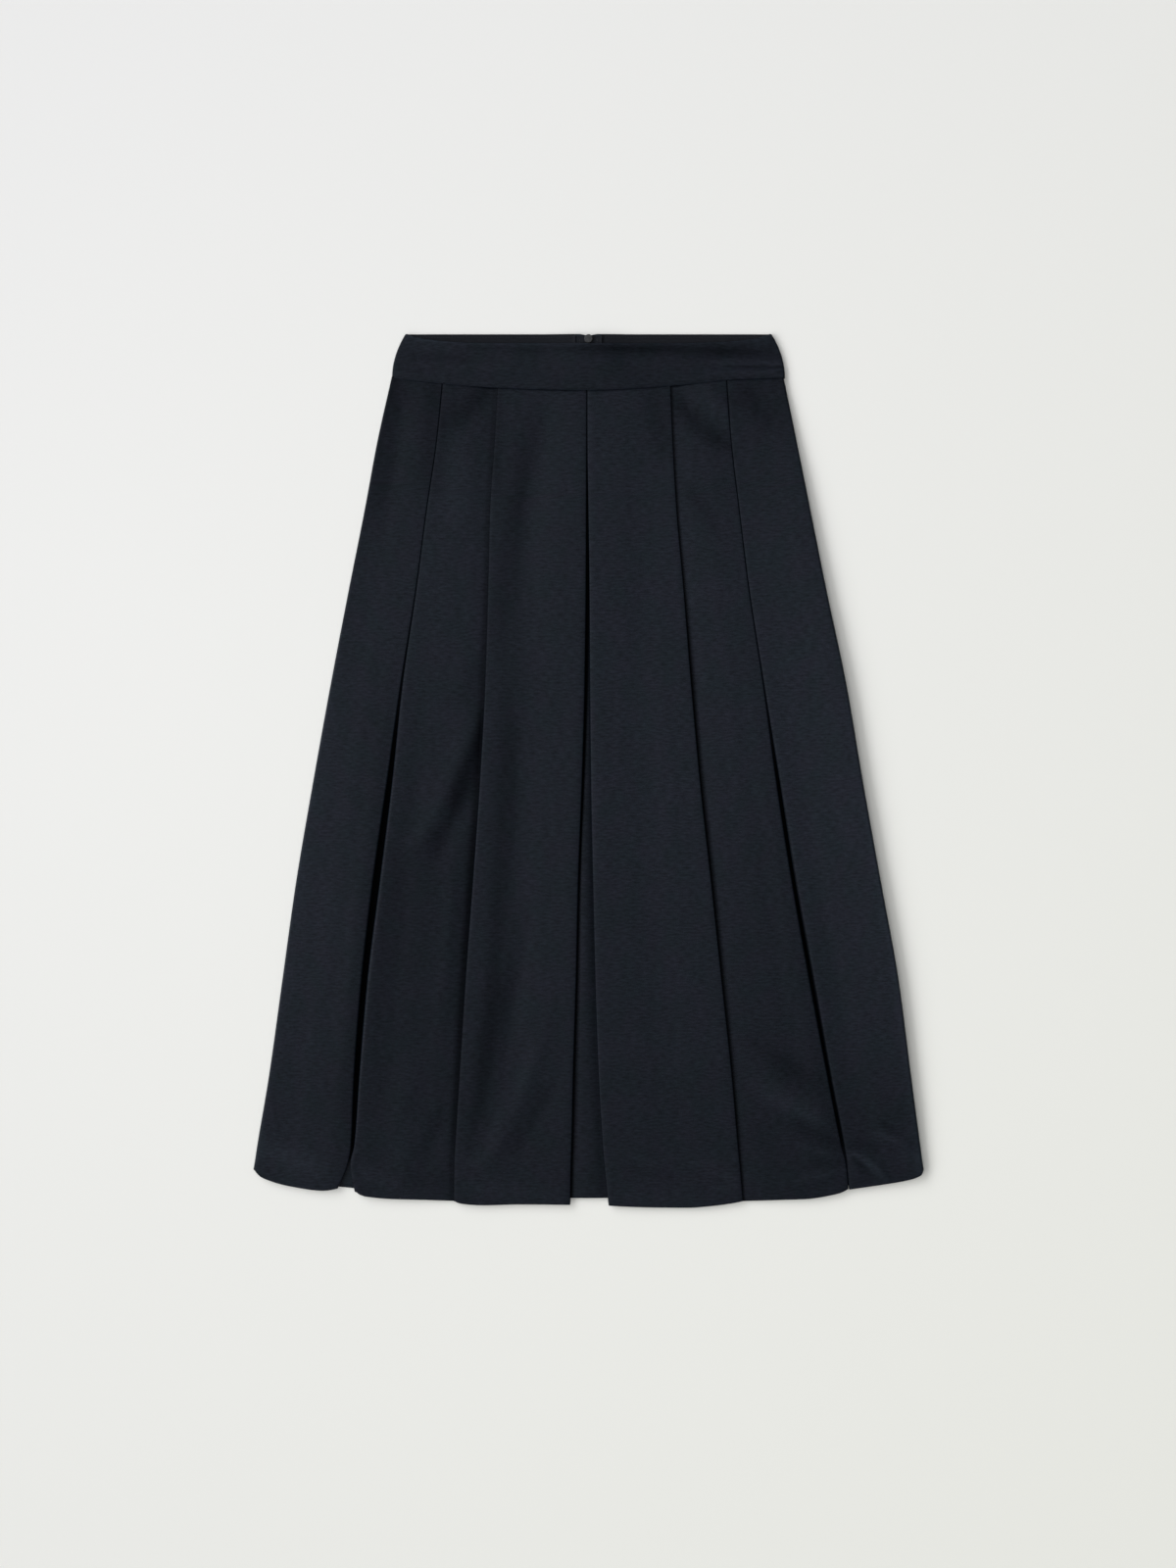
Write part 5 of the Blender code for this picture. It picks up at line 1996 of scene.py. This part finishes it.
class SKIRT_OT_stitching(bpy.types.Operator):
    """Make the hem's blind stitches and the machine stitches of the facings and zip tapes"""

    bl_idname = "skirt.make_stitching"
    bl_label = "Stitching"

    def execute(self, context):
        cloth, trim = context.scene.skirt_cloth, context.scene.skirt_trim
        half, trim_half = cloth.thickness / MM / 2, cloth.facing_thickness / MM / 2
        name, color = "navy_thread", trim.thread_color
        thread = material_named(name, lambda: thread_material(name, color))
        tree = repeat_tree("Stitches", False)
        outer = facing_outer(FACING_STITCH_DOWN) - FACING_STITCH_MARGIN
        spread = evenly(outer, FACING_INNER + FACING_STITCH_MARGIN, PATH_STEPS)
        on_facing = trim_paths([(across, FACING_STITCH_DOWN) for across in spread], trim_half)
        levels = tape_levels()[1:-1]
        on_tape = trim_paths([(TAPE_STITCH_ACROSS, down) for down in levels], trim_half)
        machine = {"Pitch": trim.stitch_pitch, "Length": trim.stitch_length, "Width": 0.0003}
        blind = {"Pitch": trim.hem_pitch, "Length": 0.0011, "Width": 0.00024}
        rows = (
            ("hem_stitches", hem_paths(half), blind, "cloth"),
            ("facing_stitches", on_facing, machine, "facing"),
            ("zip_tape_stitches", on_tape, machine, "tape"),
        )
        for label, paths, sizes, slot_name in rows:
            item = along_paths(label, paths, tree, sizes, thread)
            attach(item, SKIRT)
        return {"FINISHED"}


def join_loops(mesh, one, other):
    """The faces between two loops of as many points."""
    for step in range(len(one)):
        after = (step + 1) % len(one)
        mesh.faces.new((one[step], one[after], other[after], other[step]))


def round_body(mesh, profile, centre):
    """A closed round body about an upright line."""
    rings = []
    for place in profile:
        if place.radius == 0:
            rings.append([mesh.verts.new(centre + Vector((0, 0, place.height)) * MM)])
            continue
        ring = []
        for step in range(ROUND_STEPS):
            turn = 2 * math.pi * step / ROUND_STEPS
            reach = Vector((math.cos(turn), math.sin(turn), 0)) * place.radius
            ring.append(mesh.verts.new(centre + (reach + Vector((0, 0, place.height))) * MM))
        rings.append(ring)
    for lower, upper in zip(rings, rings[1:]):
        if len(lower) == len(upper):
            join_loops(mesh, lower, upper)
            continue
        for step in range(ROUND_STEPS):
            after = (step + 1) % ROUND_STEPS
            if len(lower) == 1:
                mesh.faces.new((lower[0], upper[after], upper[step]))
            else:
                mesh.faces.new((lower[step], lower[after], upper[0]))


def bent_bar(mesh, path, half_width, thickness, corner):
    """A flat bar of metal that follows a path of (down, height) points, with rounded edges."""
    count = len(path)
    rings = []
    for index, (down, height) in enumerate(path):
        before, after = path[max(index - 1, 0)], path[min(index + 1, count - 1)]
        along = Vector((0, before[0] - after[0], after[1] - before[1])).normalized()
        outward = Vector((1, 0, 0)).cross(along)
        centre = Vector((0, LENGTH / 2 - down, height))
        ring = []
        for x, z in rounded_outline(half_width, thickness / 2, corner, BAR_STEPS):
            ring.append(mesh.verts.new((centre + Vector((x, 0, 0)) + outward * z) * MM))
        rings.append(ring)
    for one, other in zip(rings, rings[1:]):
        join_loops(mesh, one, other)
    mesh.faces.new(rings[0])
    mesh.faces.new(list(reversed(rings[-1])))


def rounded_outline(half_width, half_length, corner, steps, centre=(0.0, 0.0)):
    """The points round a rectangle with rounded corners."""
    points = []
    corners = ((1, 1, 0), (-1, 1, 90), (-1, -1, 180), (1, -1, 270))
    for side_x, side_y, start in corners:
        for step in range(steps + 1):
            turn = math.radians(start + 90 * step / steps)
            x = centre[0] + side_x * (half_width - corner) + corner * math.cos(turn)
            y = centre[1] + side_y * (half_length - corner) + corner * math.sin(turn)
            points.append((x, y))
    return points


def bridge_path():
    """The bridge runs down through the opening, along under the cloth, and back up."""
    start, end = BRIDGE_TOP_DOWN + BRIDGE_BAR, BRIDGE_END_DOWN - BRIDGE_BAR
    low = BRIDGE_LOW_Z + BRIDGE_BAR / 2
    path = [(start, SLIDER_Z + BRIDGE_BAR), (start, SLIDER_Z - BRIDGE_STRAIGHT)]
    for angle in BRIDGE_BEND:
        turn = math.radians(angle)
        path.append(
            (
                start + BRIDGE_CORNER * (1 - math.cos(turn)),
                low + BRIDGE_CORNER * (1 - math.sin(turn)),
            )
        )
    mirrored = [(start + end - down, height) for down, height in reversed(path)]
    return path + mirrored


class SKIRT_OT_slider(bpy.types.Operator):
    """Make the round slider of the zip, with its bridge"""

    bl_idname = "skirt.make_slider"
    bl_label = "Zip slider"

    def execute(self, context):
        trim = context.scene.skirt_trim
        mesh = bmesh.new()
        centre = Vector((0, LENGTH / 2 - SLIDER_DOWN, SLIDER_Z)) * MM
        round_body(mesh, SLIDER_PROFILE, centre)
        bent_bar(mesh, bridge_path(), NECK_HALF, BRIDGE_BAR, BAR_CORNER)
        material = material_named("zip_metal", lambda: metal_material(trim))
        item = linked_object("zip_slider_body", mesh, material)
        item.data.polygons.foreach_set("use_smooth", [True] * len(item.data.polygons))
        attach(item, SKIRT)
        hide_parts("zip_slider")
        return {"FINISHED"}


def pull_loop(inset, height, hole):
    """A loop of points round the pull tab or its hole, at a height over its middle."""
    if hole:
        middle = -(PULL_THICK / 2 + PULL_HOLE_LENGTH) / 2
        half_length = (PULL_HOLE_LENGTH - PULL_THICK / 2) / 2
        size = (PULL_HOLE_HALF + inset, half_length + inset, HOLE_CORNER + inset)
    else:
        top = PULL_THICK / 2
        middle = (top - PULL_LENGTH) / 2
        size = (PULL_HALF_WIDTH - inset, (PULL_LENGTH + top) / 2 - inset, PULL_CORNER - inset)
    outline = rounded_outline(*size, CORNER_STEPS, (0.0, middle))
    return [
        Vector((x, LENGTH / 2 - PULL_AXIS_DOWN + y, PULL_AXIS_Z + height)) * MM for x, y in outline
    ]


class SKIRT_OT_pull(bpy.types.Operator):
    """Make the pull tab that hangs in the slider's bridge"""

    bl_idname = "skirt.make_pull"
    bl_label = "Pull tab"

    def execute(self, context):
        trim = context.scene.skirt_trim
        half = PULL_THICK / 2
        places = (
            (PULL_EDGE, half, False),
            (0.0, half - PULL_EDGE, False),
            (0.0, PULL_EDGE - half, False),
            (PULL_EDGE, -half, False),
            (PULL_EDGE, -half, True),
            (0.0, PULL_EDGE - half, True),
            (0.0, half - PULL_EDGE, True),
            (PULL_EDGE, half, True),
        )
        mesh = bmesh.new()
        loops = [[mesh.verts.new(point) for point in pull_loop(*place)] for place in places]
        for one, other in zip(loops, loops[1:] + loops[:1]):
            join_loops(mesh, one, other)
        material = material_named("zip_metal", lambda: metal_material(trim))
        item = linked_object("zip_pull_tab", mesh, material)
        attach(item, PULL_TAB)
        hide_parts("zip_pull")
        return {"FINISHED"}


# The stage.

def sun(name, azimuth, height, strength, spread):
    """A soft sun that shines from an azimuth and a height above the floor, in degrees."""
    light = bpy.data.lights.new(name, "SUN")
    light.energy = strength
    light.angle = math.radians(spread)
    item = place_object(name, light)
    item.rotation_euler = Euler((0, math.radians(90 - height), math.radians(azimuth)))


class SKIRT_OT_stage(bpy.types.Operator):
    """Make the pale floor, the soft light and the camera straight above"""

    bl_idname = "skirt.make_stage"
    bl_label = "Stage"

    def execute(self, context):
        settings = context.scene.skirt_stage
        half = settings.floor_size / 2
        corners = [(-half, -half, FLOOR_Z), (half, -half, FLOOR_Z)]
        corners += [(half, half, FLOOR_Z), (-half, half, FLOOR_Z)]
        data = bpy.data.meshes.new("studio_floor")
        data.from_pydata(corners, [], [(0, 1, 2, 3)])
        data.materials.append(floor_material(settings))
        floor = place_object("studio_floor", data)
        for index, turned in enumerate(SUN_SIDES):
            name = "side_light_" + str(index + 1)
            share = settings.key_light / len(SUN_SIDES)
            sun(name, SUN_AZIMUTH + turned, SUN_HEIGHT, share, SUN_SPREAD)
        sun("top_light", 0.0, 90.0, settings.top_light, TOP_SPREAD)
        world = bpy.data.worlds.new("studio_world")
        world.use_nodes = True
        background = world.node_tree.nodes["Background"]
        background.inputs["Color"].default_value = FILL_COLOR
        background.inputs["Strength"].default_value = settings.fill_light
        context.scene.world = world
        context.scene.view_settings.view_transform = "Standard"
        camera = bpy.data.cameras.new("camera")
        camera.lens = settings.lens
        camera.sensor_width = SENSOR
        item = place_object("camera", camera)
        distance = settings.view_height * settings.lens / SENSOR
        item.location = (*VIEW_CENTRE, distance + CLOTH_TOP)
        context.scene.camera = item
        return {"FINISHED"}


class SKIRT_PT_panel(bpy.types.Panel):
    """Sizes, colours and buttons of the skirt"""

    bl_label = "Skirt"
    bl_idname = "SKIRT_PT_panel"
    bl_space_type = "VIEW_3D"
    bl_region_type = "UI"
    bl_category = "Skirt"

    def draw(self, context):
        layout = self.layout
        for label, settings in (
            ("Cloth", context.scene.skirt_cloth),
            ("Trimmings", context.scene.skirt_trim),
            ("Stage", context.scene.skirt_stage),
        ):
            box = layout.box()
            box.label(text=label)
            for name in settings.bl_rna.properties.keys():
                if name not in ("rna_type", "name"):
                    box.prop(settings, name)
        for operator in OPERATORS:
            layout.operator(operator.bl_idname)


OPERATORS = (
    SKIRT_OT_back,
    SKIRT_OT_front,
    SKIRT_OT_waistband,
    SKIRT_OT_facings,
    SKIRT_OT_tapes,
    SKIRT_OT_teeth,
    SKIRT_OT_stitching,
    SKIRT_OT_slider,
    SKIRT_OT_pull,
    SKIRT_OT_stage,
)
CLASSES = (SKIRT_PG_cloth, SKIRT_PG_trim, SKIRT_PG_stage, *OPERATORS, SKIRT_PT_panel)
GROUPS = {
    "skirt_cloth": SKIRT_PG_cloth,
    "skirt_trim": SKIRT_PG_trim,
    "skirt_stage": SKIRT_PG_stage,
}


def register():
    for item in CLASSES:
        bpy.utils.register_class(item)
    for name, group in GROUPS.items():
        setattr(bpy.types.Scene, name, bpy.props.PointerProperty(type=group))


def unregister():
    for name in GROUPS:
        delattr(bpy.types.Scene, name)
    for item in reversed(CLASSES):
        bpy.utils.unregister_class(item)


def main():
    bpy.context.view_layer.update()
    register()
    bpy.ops.skirt.make_stage()
    bpy.ops.skirt.make_back()
    bpy.ops.skirt.make_front()
    bpy.ops.skirt.make_waistband()
    bpy.ops.skirt.make_facings()
    bpy.ops.skirt.make_tapes()
    bpy.ops.skirt.make_teeth()
    bpy.ops.skirt.make_stitching()
    bpy.ops.skirt.make_slider()
    bpy.ops.skirt.make_pull()


if __name__ == "__main__":
    main()
